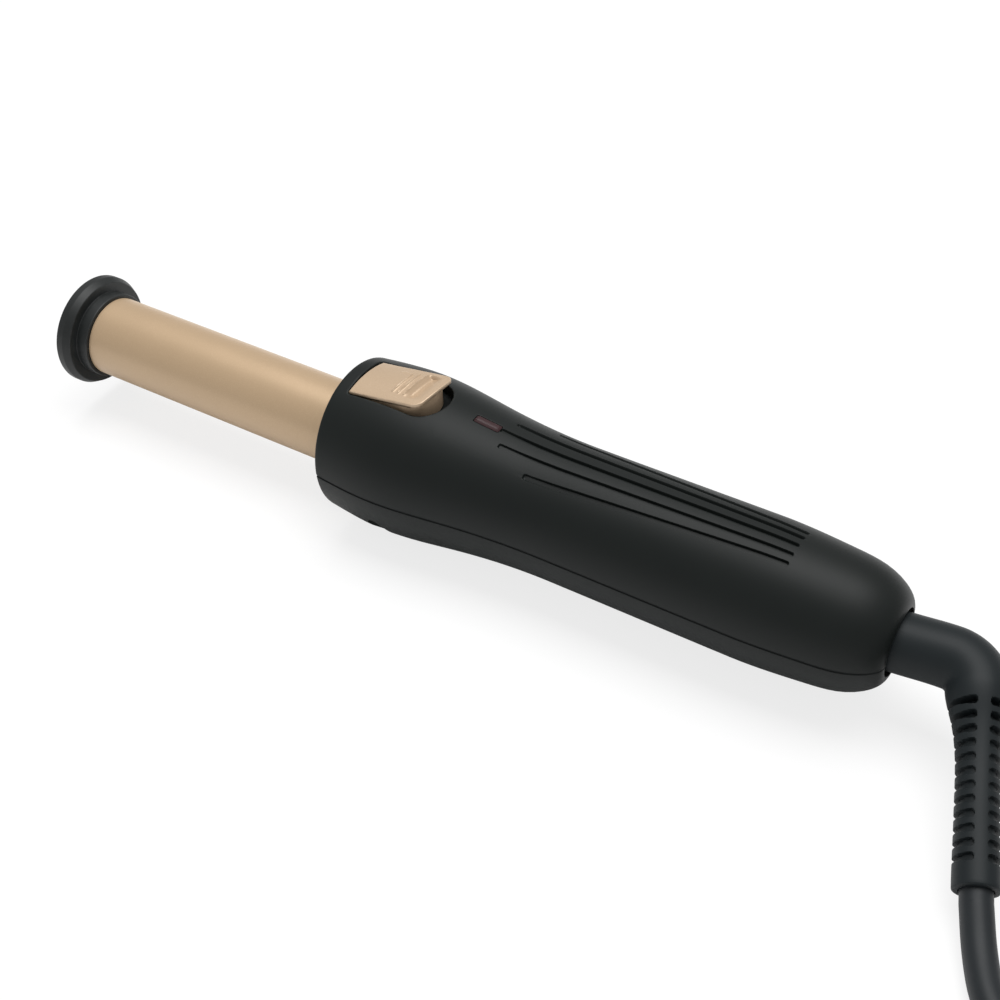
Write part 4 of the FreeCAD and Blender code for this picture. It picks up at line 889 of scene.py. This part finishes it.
middle_point = np.column_stack([np.full(len(bar), spine[:, 0].mean()), 0 * bar[:, 1]])


def bar_ring(plan, above):
    """A ring of points at plan places, a distance above the handle's surface."""
    return np.column_stack([plan, surface_height(plan, 1) + above])


rings = [level_ring(middle_point, flange_low), level_ring(flange, flange_low)]
rings += [level_ring(flange, flange_high), level_ring(bar, flange_high)]
rings += [bar_ring(bar, -0.3), bar_ring(bar, PROUD - BEVEL * 0.8)]
rings += [bar_ring(bar - way * BEVEL, PROUD - 0.04), bar_ring(bar - way * (BEVEL + 0.1), PROUD)]
rings += [bar_ring(spine, PROUD)]
lens = sew("lens", [np.stack(rings)], sharp=25)
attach(lens, "root")
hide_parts("lamp_lens")


# %% [markdown]
# ## The boot
#
# The soft boot turns with the lead. A round neck comes out of the handle, bends sharply down and tapers
# along the lead. The surface is one tube along a bent line. Its rings stand where something changes:
# close together through the bend and across each slot, and wide apart elsewhere.

# %% The boot's rings along its line
NECK_R, FLANGE_R, FLANGE_LONG = 6.15, 8.3, 1.8
BEND_R, SLOT_FROM, SLOT_PITCH, SLOT_COUNT = 7.4, 8.8, 2.56, 12
neck_start = np.array([box_mm("cord_boot")[0][0], 0, AXIS_Z])
bend_angle = math.acos(TAIL_WAY[0])
reach = BEND_R * math.tan(bend_angle / 2)
neck_long = ELBOW[0] - neck_start[0] - reach
bend_long = BEND_R * bend_angle
tail_start = neck_long + bend_long
tail_from = tail_start - reach
boot_long = tail_from + TAIL_LONG

slot_run = np.array([-0.95, -0.8, -0.68, -0.56, -0.4, -0.15, 0.15, 0.4, 0.56, 0.68, 0.8, 0.95])
slot_places = tail_from + SLOT_FROM + SLOT_PITCH * np.arange(SLOT_COUNT)
run = np.concatenate([
    [0, FLANGE_LONG - 0.01, FLANGE_LONG], np.linspace(FLANGE_LONG + 0.5, neck_long, 12),
    neck_long + bend_long * np.linspace(0, 1, 33)[1:], np.linspace(tail_start, slot_places[0] - 1.05, 5)[1:],
    (slot_places[:, None] + slot_run).ravel(), np.linspace(slot_places[-1] + 1.3, boot_long - 0.4, 6),
    boot_long + np.array([-0.25, -0.1, 0]),
])
print(f"boot: {len(run)} rings, neck {neck_long:.1f} mm, bend {math.degrees(bend_angle):.1f} degrees")

# %% [markdown]
# ## The boot's bent line
#
# The line goes straight back, turns on a circle into the lead's direction and goes straight on. On the
# real wand the soft bend stands a little higher than that, so it is lifted there and eased back to the
# lead at its end.

# %% Straight, circle, straight
LIFT = np.array([0, 0.55, 0.8])
BACK = np.array([1.0, 0, 0])
inward = np.array([0, TAIL_WAY[1], TAIL_WAY[2]])
inward /= np.linalg.norm(inward)
turned_by = np.clip((run - neck_long) / BEND_R, 0, bend_angle)[:, None]
heading = np.cos(turned_by) * BACK + np.sin(turned_by) * inward
towards = -np.sin(turned_by) * BACK + np.cos(turned_by) * inward
line = neck_start + np.minimum(run, neck_long)[:, None] * BACK
line = line + BEND_R * (np.sin(turned_by) * BACK + (1 - np.cos(turned_by)) * inward)
line = line + np.maximum(run - tail_start, 0)[:, None] * TAIL_WAY
rising = smooth((run - (REAR - neck_start[0]) + 3) / 14)
falling = smooth((run - tail_start - 6) / (boot_long - tail_start - 8))
line = line + (rising * (1 - falling))[:, None] * LIFT
print("boot's tail ends", np.round(np.abs(line[-1] - TAIL_END).max(), 4), "mm from the lead's exit")

# %% [markdown]
# ## The boot's taper and slots
#
# The tail's radius is a smooth curve over its length. Slots on both sides of a smooth spine let it bend
# evenly: each is a place where the radius drops to the floor of the slot, widest beside the spine,
# where it ends round. The spine lies on top of the tail, turned a little to one side.

# %% Radius at every point of the tube
SLOT_FLOOR, SLOT_HALF_LONG, SLOT_ROUND, SPINE_HALF, SLOT_WALL = 3.3, 0.8, 0.74, 1.2, 0.16
TAPER = np.array([[reach, NECK_R], [reach + 6, 5.0], [reach + 13, 4.15], [reach + 24, 4.1], [TAIL_LONG, 4.3]])
taper = smooth_curve(TAPER, {0: (0.98, -0.05), 3: (1, 0), 4: (1, 0)})
slim = np.interp(np.clip(run - tail_from, 0, None), taper[:, 0], taper[:, 1])
slim[-3:] -= np.array([0.05, 0.2, 0.5])

angle = np.concatenate([[0, 0.1], np.linspace(0.2, 0.75, 16)[:-1], np.linspace(0.75, np.pi / 2, 9)])
angle = np.concatenate([angle, np.pi - angle[-2::-1]])
angle = np.concatenate([angle, 2 * np.pi - angle[-2::-1]])
from_spine = np.abs(np.sin(angle))[None] * slim[:, None]
nearest = np.abs(run[:, None] - slot_places).argmin(1)
station = (run - slot_places[nearest])[:, None]
slot_half = SLOT_HALF_LONG - 0.3 * np.clip((from_spine - 1.6) / 2.6, 0, 1)
past = np.clip((SPINE_HALF + SLOT_ROUND - from_spine) / SLOT_ROUND, 0, 1)
within = slot_half * np.sqrt(np.clip(1 - past ** 2, 0, 1)) - np.abs(station)
in_slots = ((run > slot_places[0] - 1.0) & (run < slot_places[-1] + 1.0))[:, None]
drop = smooth((within + 0.05) / SLOT_WALL) * in_slots
tube_radius = slim[:, None] - (slim[:, None] - SLOT_FLOOR) * drop
tube_radius[:2], tube_radius[2] = FLANGE_R, NECK_R
print(f"boot: {SLOT_COUNT} slots on each side, floor at {tube_radius[in_slots[:, 0]].min():.1f} mm")

# %% [markdown]
# ## The boot's surface
#
# Every ring is drawn with the line's own two cross directions, turned so that the angle 0 is the spine.
# At the tail's end the rings turn in to the mouth that holds the lead, and both ends close in a point.

# %% Boot
SPINE_TURN, LEAD_HOLE_R, LEAD_HOLE_DEEP = math.radians(14), 3.2, 2.5
across = np.cross(TAIL_WAY, BACK)
across /= np.linalg.norm(across)
level = np.cross([0, 0, 1.0], TAIL_WAY)
level /= np.linalg.norm(level)
tail_up = np.cross(TAIL_WAY, level)
top_turn = np.arctan2(tail_up @ across, tail_up @ np.cross(across, TAIL_WAY))
place_angle = (angle + top_turn + SPINE_TURN)[:, None]
side_way = np.cross(heading, towards)[:, None]
outwards = side_way * np.sin(place_angle) - towards[:, None] * np.cos(place_angle)
rings = line[:, None] + tube_radius[..., None] * outwards

mouth = TAIL_END + LEAD_HOLE_R / tube_radius[-1, 0] * (rings[-1] - TAIL_END)
start_cap = np.broadcast_to(neck_start, rings[0].shape)
end_cap = np.broadcast_to(TAIL_END - LEAD_HOLE_DEEP * TAIL_WAY, rings[0].shape)
boot_sheet = np.concatenate([[start_cap], rings, [mouth, mouth - LEAD_HOLE_DEEP * TAIL_WAY, end_cap]])
boot_wear = np.zeros(boot_sheet.shape[:2])
boot_wear[1:-3] = 0.5 * (1 - np.abs(2 * drop - 1)) * in_slots
boot = sew("boot", [boot_sheet], [boot_wear], on_axis=False)
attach(boot, "swivel")
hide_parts("cord_boot")


# %% [markdown]
# ## The lead lies still
#
# On the real wand the lead turns with the boot where it leaves it, lies still on the table and bends
# between the two. Here the lead is one piece: its place is baked into its points, and the
# construction's own lead pieces are hidden. A list pairs every new piece with its slot.

# %% The lead lies still, and the new pieces with their slots
NEW_PIECES = [(tip, "tip_cap"), (barrel, "barrel"), (ring, "ring"), (cord, "cord"), (upper, "handle"),
              (lower, "handle"), (knob, "knob"), (lens, "lens"), (boot, "boot")]
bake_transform(cord)
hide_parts("cord_tube", "cord_coil", "cord_end")
print("new pieces:", [piece.name for piece, slot in NEW_PIECES])


# %% [markdown]
# ## Finishes
#
# Every finish is worked out on the piece's own coordinates, so it stays with the piece when that moves.
# Effects that several finishes share are node groups with named sockets. A group gives only what varies
# over the surface: colours, heights and roughness. What is constant is set on the shader itself.

# %% Small helpers for node trees
def linear(red, green, blue):
    """A colour given as 0 to 255 display values, as the linear values that a shader works with."""
    value = np.array([red, green, blue]) / 255
    value = np.where(value <= 0.04045, value / 12.92, ((value + 0.055) / 1.055) ** 2.4)
    return (*value, 1.0)


def add(tree, kind, settings=None, **inputs):
    """A node of that kind. An input is a socket to link from, or a constant.

    An input is named by its label with _ for a space, or by its number: n0 is the first one.
    """
    node = tree.nodes.new("ShaderNode" + kind)
    for key, value in (settings or {}).items():
        setattr(node, key, value)
    for key, value in inputs.items():
        numbered = key[0] == "n" and key[1:].isdigit()
        socket = node.inputs[int(key[1:]) if numbered else key.replace("_", " ")]
        if isinstance(value, bpy.types.NodeSocket):
            tree.links.new(value, socket)
        else:
            socket.default_value = value
    return node


def group(name, inputs, outputs):
    """An empty node group with named sockets, its inputs inside the group, and its outputs there."""
    tree = bpy.data.node_groups.new(name, "ShaderNodeTree")
    for label, (kind, value) in inputs.items():
        socket = tree.interface.new_socket(label, in_out="INPUT", socket_type="NodeSocket" + kind)
        socket.default_value = value
    for label, kind in outputs.items():
        tree.interface.new_socket(label, in_out="OUTPUT", socket_type="NodeSocket" + kind)
    return tree, tree.nodes.new("NodeGroupInput").outputs, tree.nodes.new("NodeGroupOutput").inputs


def noise(tree, place, scale, detail=3.0):
    """Smooth noise between 0 and 1 at a place."""
    return add(tree, "TexNoise", Vector=place, Scale=scale, Detail=detail, Roughness=0.55).outputs["Fac"]


def between(tree, value, low, high):
    """Stretches the part of a value between low and high to 0..1."""
    eased = {"interpolation_type": "SMOOTHSTEP"}
    return add(tree, "MapRange", eased, Value=value, From_Min=low, From_Max=high).outputs["Result"]


def mix_colour(tree, share, first, second):
    """The first colour with a share of the second one mixed in."""
    return add(tree, "Mix", {"data_type": "RGBA"}, n0=share, n6=first, n7=second).outputs[2]


def maths(tree, operation, first, second):
    """One step of arithmetic on two values."""
    return add(tree, "Math", {"operation": operation}, n0=first, n1=second).outputs[0]


print("linear mid grey:", round(linear(128, 128, 128)[0], 3))

# %% [markdown]
# ## Moulded grain
#
# A steel mould leaves a fine grain on plastic, and use leaves broad patches that are a little glossier
# or darker. Two noises draw both: the fine one is the height, the broad one varies the shade, and the
# two together vary the roughness.

# %% Grain
grain, takes, gives = group(
    "moulded_grain",
    {"Scale": ("Float", 3000.0), "Roughness": ("Float", 0.4), "Spread": ("Float", 0.06),
     "Mottle": ("Float", 0.1)},
    {"Height": "Float", "Roughness": "Float", "Shade": "Float"})
place = add(grain, "TexCoord").outputs["Object"]
fine = noise(grain, place, takes["Scale"])
broad = noise(grain, place, 90.0, 2.0)
both = maths(grain, "SUBTRACT", maths(grain, "ADD", fine, broad), 1.0)
spread = maths(grain, "MULTIPLY", both, takes["Spread"])
patches = maths(grain, "MULTIPLY", maths(grain, "SUBTRACT", broad, 0.5), takes["Mottle"])
grain.links.new(fine, gives["Height"])
grain.links.new(maths(grain, "ADD", takes["Roughness"], spread), gives["Roughness"])
grain.links.new(maths(grain, "ADD", 1.0, patches), gives["Shade"])
print("grain:", len(grain.nodes), "nodes")

# %% [markdown]
# ## Edge wear
#
# Hands and tables rub edges and ribs pale. Each mesh carries a wear value at its corners, which says
# how far a place is exposed. Noise breaks it into patches, because real wear is never even.

# %% Wear
wearing, takes, gives = group(
    "edge_wear",
    {"Colour": ("Color", (0.1, 0.1, 0.1, 1)), "Worn": ("Color", (0.2, 0.2, 0.2, 1)), "Amount": ("Float", 0.5),
     "Shade": ("Float", 1.0)},
    {"Colour": "Color"})
place = add(wearing, "TexCoord").outputs["Object"]
exposed = add(wearing, "Attribute", {"attribute_name": "wear"}).outputs["Fac"]
patchy = between(wearing, noise(wearing, place, 420.0), 0.35, 0.7)
mask = maths(wearing, "MULTIPLY", maths(wearing, "MULTIPLY", exposed, patchy), takes["Amount"])
shaded = add(wearing, "VectorMath", {"operation": "SCALE"}, Vector=takes["Colour"], Scale=takes["Shade"])
worn_colour = mix_colour(wearing, mask, shaded.outputs["Vector"], takes["Worn"])
wearing.links.new(worn_colour, gives["Colour"])
print("wear:", len(wearing.nodes), "nodes")

# %% [markdown]
# ## Metal flecks
#
# Barrel and knob have a champagne finish with fine bright flakes in it. Each cell of a fine Voronoi
# pattern has a value of its own, and the cells with high values are mixed towards a lighter colour.

# %% Flecks
flecks, takes, gives = group(
    "metal_flecks",
    {"Colour": ("Color", (0.5, 0.4, 0.3, 1)), "Bright": ("Color", (0.9, 0.8, 0.7, 1)),
     "Size": ("Float", 9000.0), "Amount": ("Float", 0.2)},
    {"Colour": "Color"})
place = add(flecks, "TexCoord").outputs["Object"]
cells = add(flecks, "TexVoronoi", Vector=place, Scale=takes["Size"]).outputs["Color"]
chosen = between(flecks, add(flecks, "SeparateColor", Color=cells).outputs[0], 0.55, 1.0)
mask = maths(flecks, "MULTIPLY", chosen, takes["Amount"])
flecks.links.new(mix_colour(flecks, mask, takes["Colour"], takes["Bright"]), gives["Colour"])
print("flecks:", len(flecks.nodes), "nodes")

# %% [markdown]
# ## Turned lines
#
# The barrel's coating follows the fine rings that turning and polishing leave on the tube. A noise that
# is stretched about a hundred times round the tube gives such rings, and they waver a little.

# %% Lines
turning, takes, gives = group(
    "turned_lines", {"Lines": ("Float", 4000.0), "Waver": ("Float", 30.0)}, {"Height": "Float"})
place = add(turning, "TexCoord").outputs["Object"]
axes = add(turning, "SeparateXYZ", Vector=place).outputs
drawn = add(turning, "CombineXYZ", X=maths(turning, "MULTIPLY", axes[0], takes["Lines"]),
            Y=maths(turning, "MULTIPLY", axes[1], takes["Waver"]),
            Z=maths(turning, "MULTIPLY", axes[2], takes["Waver"]))
turning.links.new(noise(turning, drawn.outputs[0], 1.0, 2.0), gives["Height"])
print("shared effects:", [tree.name for tree in bpy.data.node_groups])


# %% [markdown]
# ## One finish from a few numbers
#
# Plastics, lacquer and metals differ in colour, roughness and a few strengths. One function builds them
# all from the shared effects, so that a new finish is one line. Relief is 0.02 mm deep everywhere: it
# breaks up a reflection and is never seen as a shape.

# %% Finish
RELIEF_DEPTH = 0.02


def finish(name, colour, roughness, metallic=0.0, *, worn, amount=0.4, scale=3000.0, spread=0.06,
           mottle=0.1, bump=0.1, coat=0.0, bright=None, lines=0.0, specular=0.5):
    """A material: grain in its height and roughness, worn edges, and flecks or turned lines if asked for."""
    material = bpy.data.materials.new(name)
    material.use_nodes = True
    tree = material.node_tree
    shader = next(node for node in tree.nodes if node.type == "BSDF_PRINCIPLED")
    grained = add(tree, "Group", {"node_tree": grain}, Scale=scale, Roughness=roughness, Spread=spread,
                  Mottle=mottle)
    tone = linear(*colour)
    if bright:
        flecked = add(tree, "Group", {"node_tree": flecks}, Colour=tone, Bright=linear(*bright))
        tone = flecked.outputs["Colour"]
    aged = add(tree, "Group", {"node_tree": wearing}, Colour=tone, Worn=linear(*worn), Amount=amount,
               Shade=grained.outputs["Shade"])
    tree.links.new(aged.outputs["Colour"], shader.inputs["Base Color"])
    tree.links.new(grained.outputs["Roughness"], shader.inputs["Roughness"])
    height = grained.outputs["Height"]
    if lines:
        height = add(tree, "Group", {"node_tree": turning}, Lines=lines).outputs["Height"]
    relief = add(tree, "Bump", Height=height, Strength=bump, Distance=RELIEF_DEPTH * MM)
    tree.links.new(relief.outputs["Normal"], shader.inputs["Normal"])
    for socket, value in (("Metallic", metallic), ("Coat Weight", coat), ("Coat Roughness", 0.1),
                          ("Specular IOR Level", specular)):
        shader.inputs[socket].default_value = value
    return material


print("relief of every finish:", RELIEF_DEPTH, "mm")


# %% [markdown]
# ## The list of finishes
#
# One entry for each slot of the record. The outside finishes are matched to the real wand: a satin
# black shell, a champagne barrel and knob, a dark red lens that is off, and soft black rubber for boot
# and lead. The inner parts have the usual colours of such parts, so an opened wand reads well.

# %% Finishes
FINISHES = {
    "barrel": finish("champagne_ceramic", (181, 155, 124), 0.38, 0.3, worn=(204, 180, 150),
                     bright=(206, 182, 150), spread=0.05, mottle=0.04, bump=0.08, lines=3500.0),
    "handle": finish("satin_black_shell", (17, 21, 20), 0.48, worn=(64, 66, 64), amount=0.3, bump=0.16,
                     mottle=0.12, specular=0.2),
    "tip_cap": finish("black_heat_plastic", (24, 27, 27), 0.48, worn=(66, 68, 68), bump=0.16, specular=0.35),
    "knob": finish("champagne_lacquer", (182, 158, 131), 0.4, 0.25, worn=(212, 192, 166),
                   bright=(212, 190, 164), spread=0.05, mottle=0.04, bump=0.1),
    "lens": finish("red_lens", (46, 21, 24), 0.45, worn=(66, 36, 38), spread=0.03, bump=0.05, specular=0.3),
    "dark_plastic": finish("dark_plastic", (34, 36, 38), 0.45, worn=(70, 72, 74)),
    "ring": finish("collar_plastic", (24, 27, 27), 0.45, worn=(66, 68, 68), specular=0.35),
    "steel": finish("steel", (170, 172, 175), 0.3, 1.0, worn=(210, 210, 212)),
    "aluminium": finish("aluminium", (190, 192, 196), 0.4, 1.0, worn=(220, 220, 222)),
    "ceramic": finish("white_ceramic", (222, 218, 208), 0.5, worn=(235, 232, 226)),
    "film": finish("amber_film", (176, 112, 40), 0.3, worn=(200, 140, 70), coat=0.3),
    "mica": finish("mica_sheet", (168, 158, 134), 0.35, worn=(200, 192, 170)),
    "board": finish("green_board", (28, 84, 52), 0.35, worn=(60, 120, 84), coat=0.4),
    "capacitor": finish("yellow_block", (196, 160, 44), 0.4, worn=(214, 186, 90)),
    "resistor": finish("resistor_body", (120, 168, 176), 0.45, worn=(150, 190, 196)),
    "lamp": finish("clear_lamp", (222, 120, 110), 0.15, worn=(230, 160, 150), coat=0.6),
    "brass": finish("brass", (196, 160, 92), 0.3, 1.0, worn=(222, 194, 132)),
    "nylon": finish("natural_nylon", (214, 208, 192), 0.5, worn=(228, 224, 212)),
    "wire": finish("wire_sleeve", (222, 222, 218), 0.5, worn=(232, 232, 230)),
    "boot": finish("soft_boot", (25, 30, 32), 0.5, worn=(60, 63, 66), bump=0.16, scale=2400.0, specular=0.2),
    "cord": finish("lead_sleeve", (27, 31, 34), 0.5, worn=(70, 72, 74), bump=0.14, scale=2400.0,
                   specular=0.3),
    "tie": finish("woven_strap", (40, 41, 44), 0.8, worn=(70, 70, 72), bump=0.4, scale=1500.0),
    "plug": finish("plug_body", (40, 42, 46), 0.5, worn=(76, 78, 80), bump=0.16),
}
print("finishes:", len(FINISHES))

# %% [markdown]
# ## Giving the finishes out
#
# The record names a material slot for every construction part, and each part takes the finish of that
# slot. The new pieces take theirs from the list above.

# %% Every piece takes its finish from its slot
for entry in frame["record"]["subparts"]:
    for place in frame["nodes"][entry["node"]].material_slots:
        place.material = FINISHES[entry["material_slot"]]
for piece, slot in NEW_PIECES:
    piece.data.materials.clear()
    piece.data.materials.append(FINISHES[slot])
print("pieces with a finish:", len(frame["nodes"]), "from the construction,", len(NEW_PIECES), "new")


# %% [markdown]
# ## Floor
#
# The wand lies on white paper. The floor is a matt sheet that shows itself to the camera mostly as
# plain white, so that only a faint, soft shadow stays on it. For all other light it is the matt sheet
# alone, which throws a little light up under the wand, as paper does.

# %% White paper
PLAIN_SHARE = 0.78

floor_mesh = bpy.data.meshes.new("floor")
floor_mesh.from_pydata([(-3, -3, 0), (3, -3, 0), (3, 3, 0), (-3, 3, 0)], [], [(0, 1, 2, 3)])
floor = bpy.data.objects.new("floor", floor_mesh)
bpy.context.scene.collection.objects.link(floor)
paper = bpy.data.materials.new("white_paper")
paper.use_nodes = True
tree = paper.node_tree
tree.nodes.clear()
matt = add(tree, "BsdfDiffuse", Color=(0.9, 0.9, 0.9, 1))
glow = add(tree, "Emission", Color=(1, 1, 1, 1), Strength=1.0)
share = maths(tree, "MULTIPLY", add(tree, "LightPath").outputs["Is Camera Ray"], PLAIN_SHARE)
mixed = add(tree, "MixShader", n0=share, n1=matt.outputs[0], n2=glow.outputs[0])
tree.links.new(mixed.outputs[0], tree.nodes.new("ShaderNodeOutputMaterial").inputs["Surface"])
floor.data.materials.append(paper)
print("floor: shown as plain white for", PLAIN_SHARE, "of what the camera sees")

# %% [markdown]
# ## Light
#
# Light comes evenly from a white room, as from a big soft box. The room is full white for the camera and
# half as bright for the light that falls on the wand. One wide lamp overhead draws the long sheen along
# the handle.

# %% Lamp and world
ROOM_LIGHT, LAMP_POWER = 0.5, 9.0

lamp_data = bpy.data.lights.new("overhead", "AREA")
lamp_data.shape, lamp_data.size, lamp_data.size_y, lamp_data.energy = "RECTANGLE", 0.9, 0.6, LAMP_POWER
lamp = bpy.data.objects.new("overhead", lamp_data)
lamp.location = (0.0, 0.15, 0.9)
lamp.rotation_euler = (math.radians(-8), 0, 0)
bpy.context.scene.collection.objects.link(lamp)

world = bpy.data.worlds.new("white_room")
bpy.context.scene.world = world
world.use_nodes = True
tree = world.node_tree
tree.nodes.clear()
seen = add(tree, "LightPath").outputs["Is Camera Ray"]
lit = add(tree, "Background", Color=(1, 1, 1, 1), Strength=ROOM_LIGHT)
plain = add(tree, "Background", Color=(1, 1, 1, 1), Strength=1.0)
mixed = add(tree, "MixShader", n0=seen, n1=lit.outputs[0], n2=plain.outputs[0])
tree.links.new(mixed.outputs[0], tree.nodes.new("ShaderNodeOutputWorld").inputs["Surface"])
bpy.context.scene.view_settings.view_transform = "Standard"
print("light: a lamp of", LAMP_POWER, "W, a room of strength", ROOM_LIGHT)
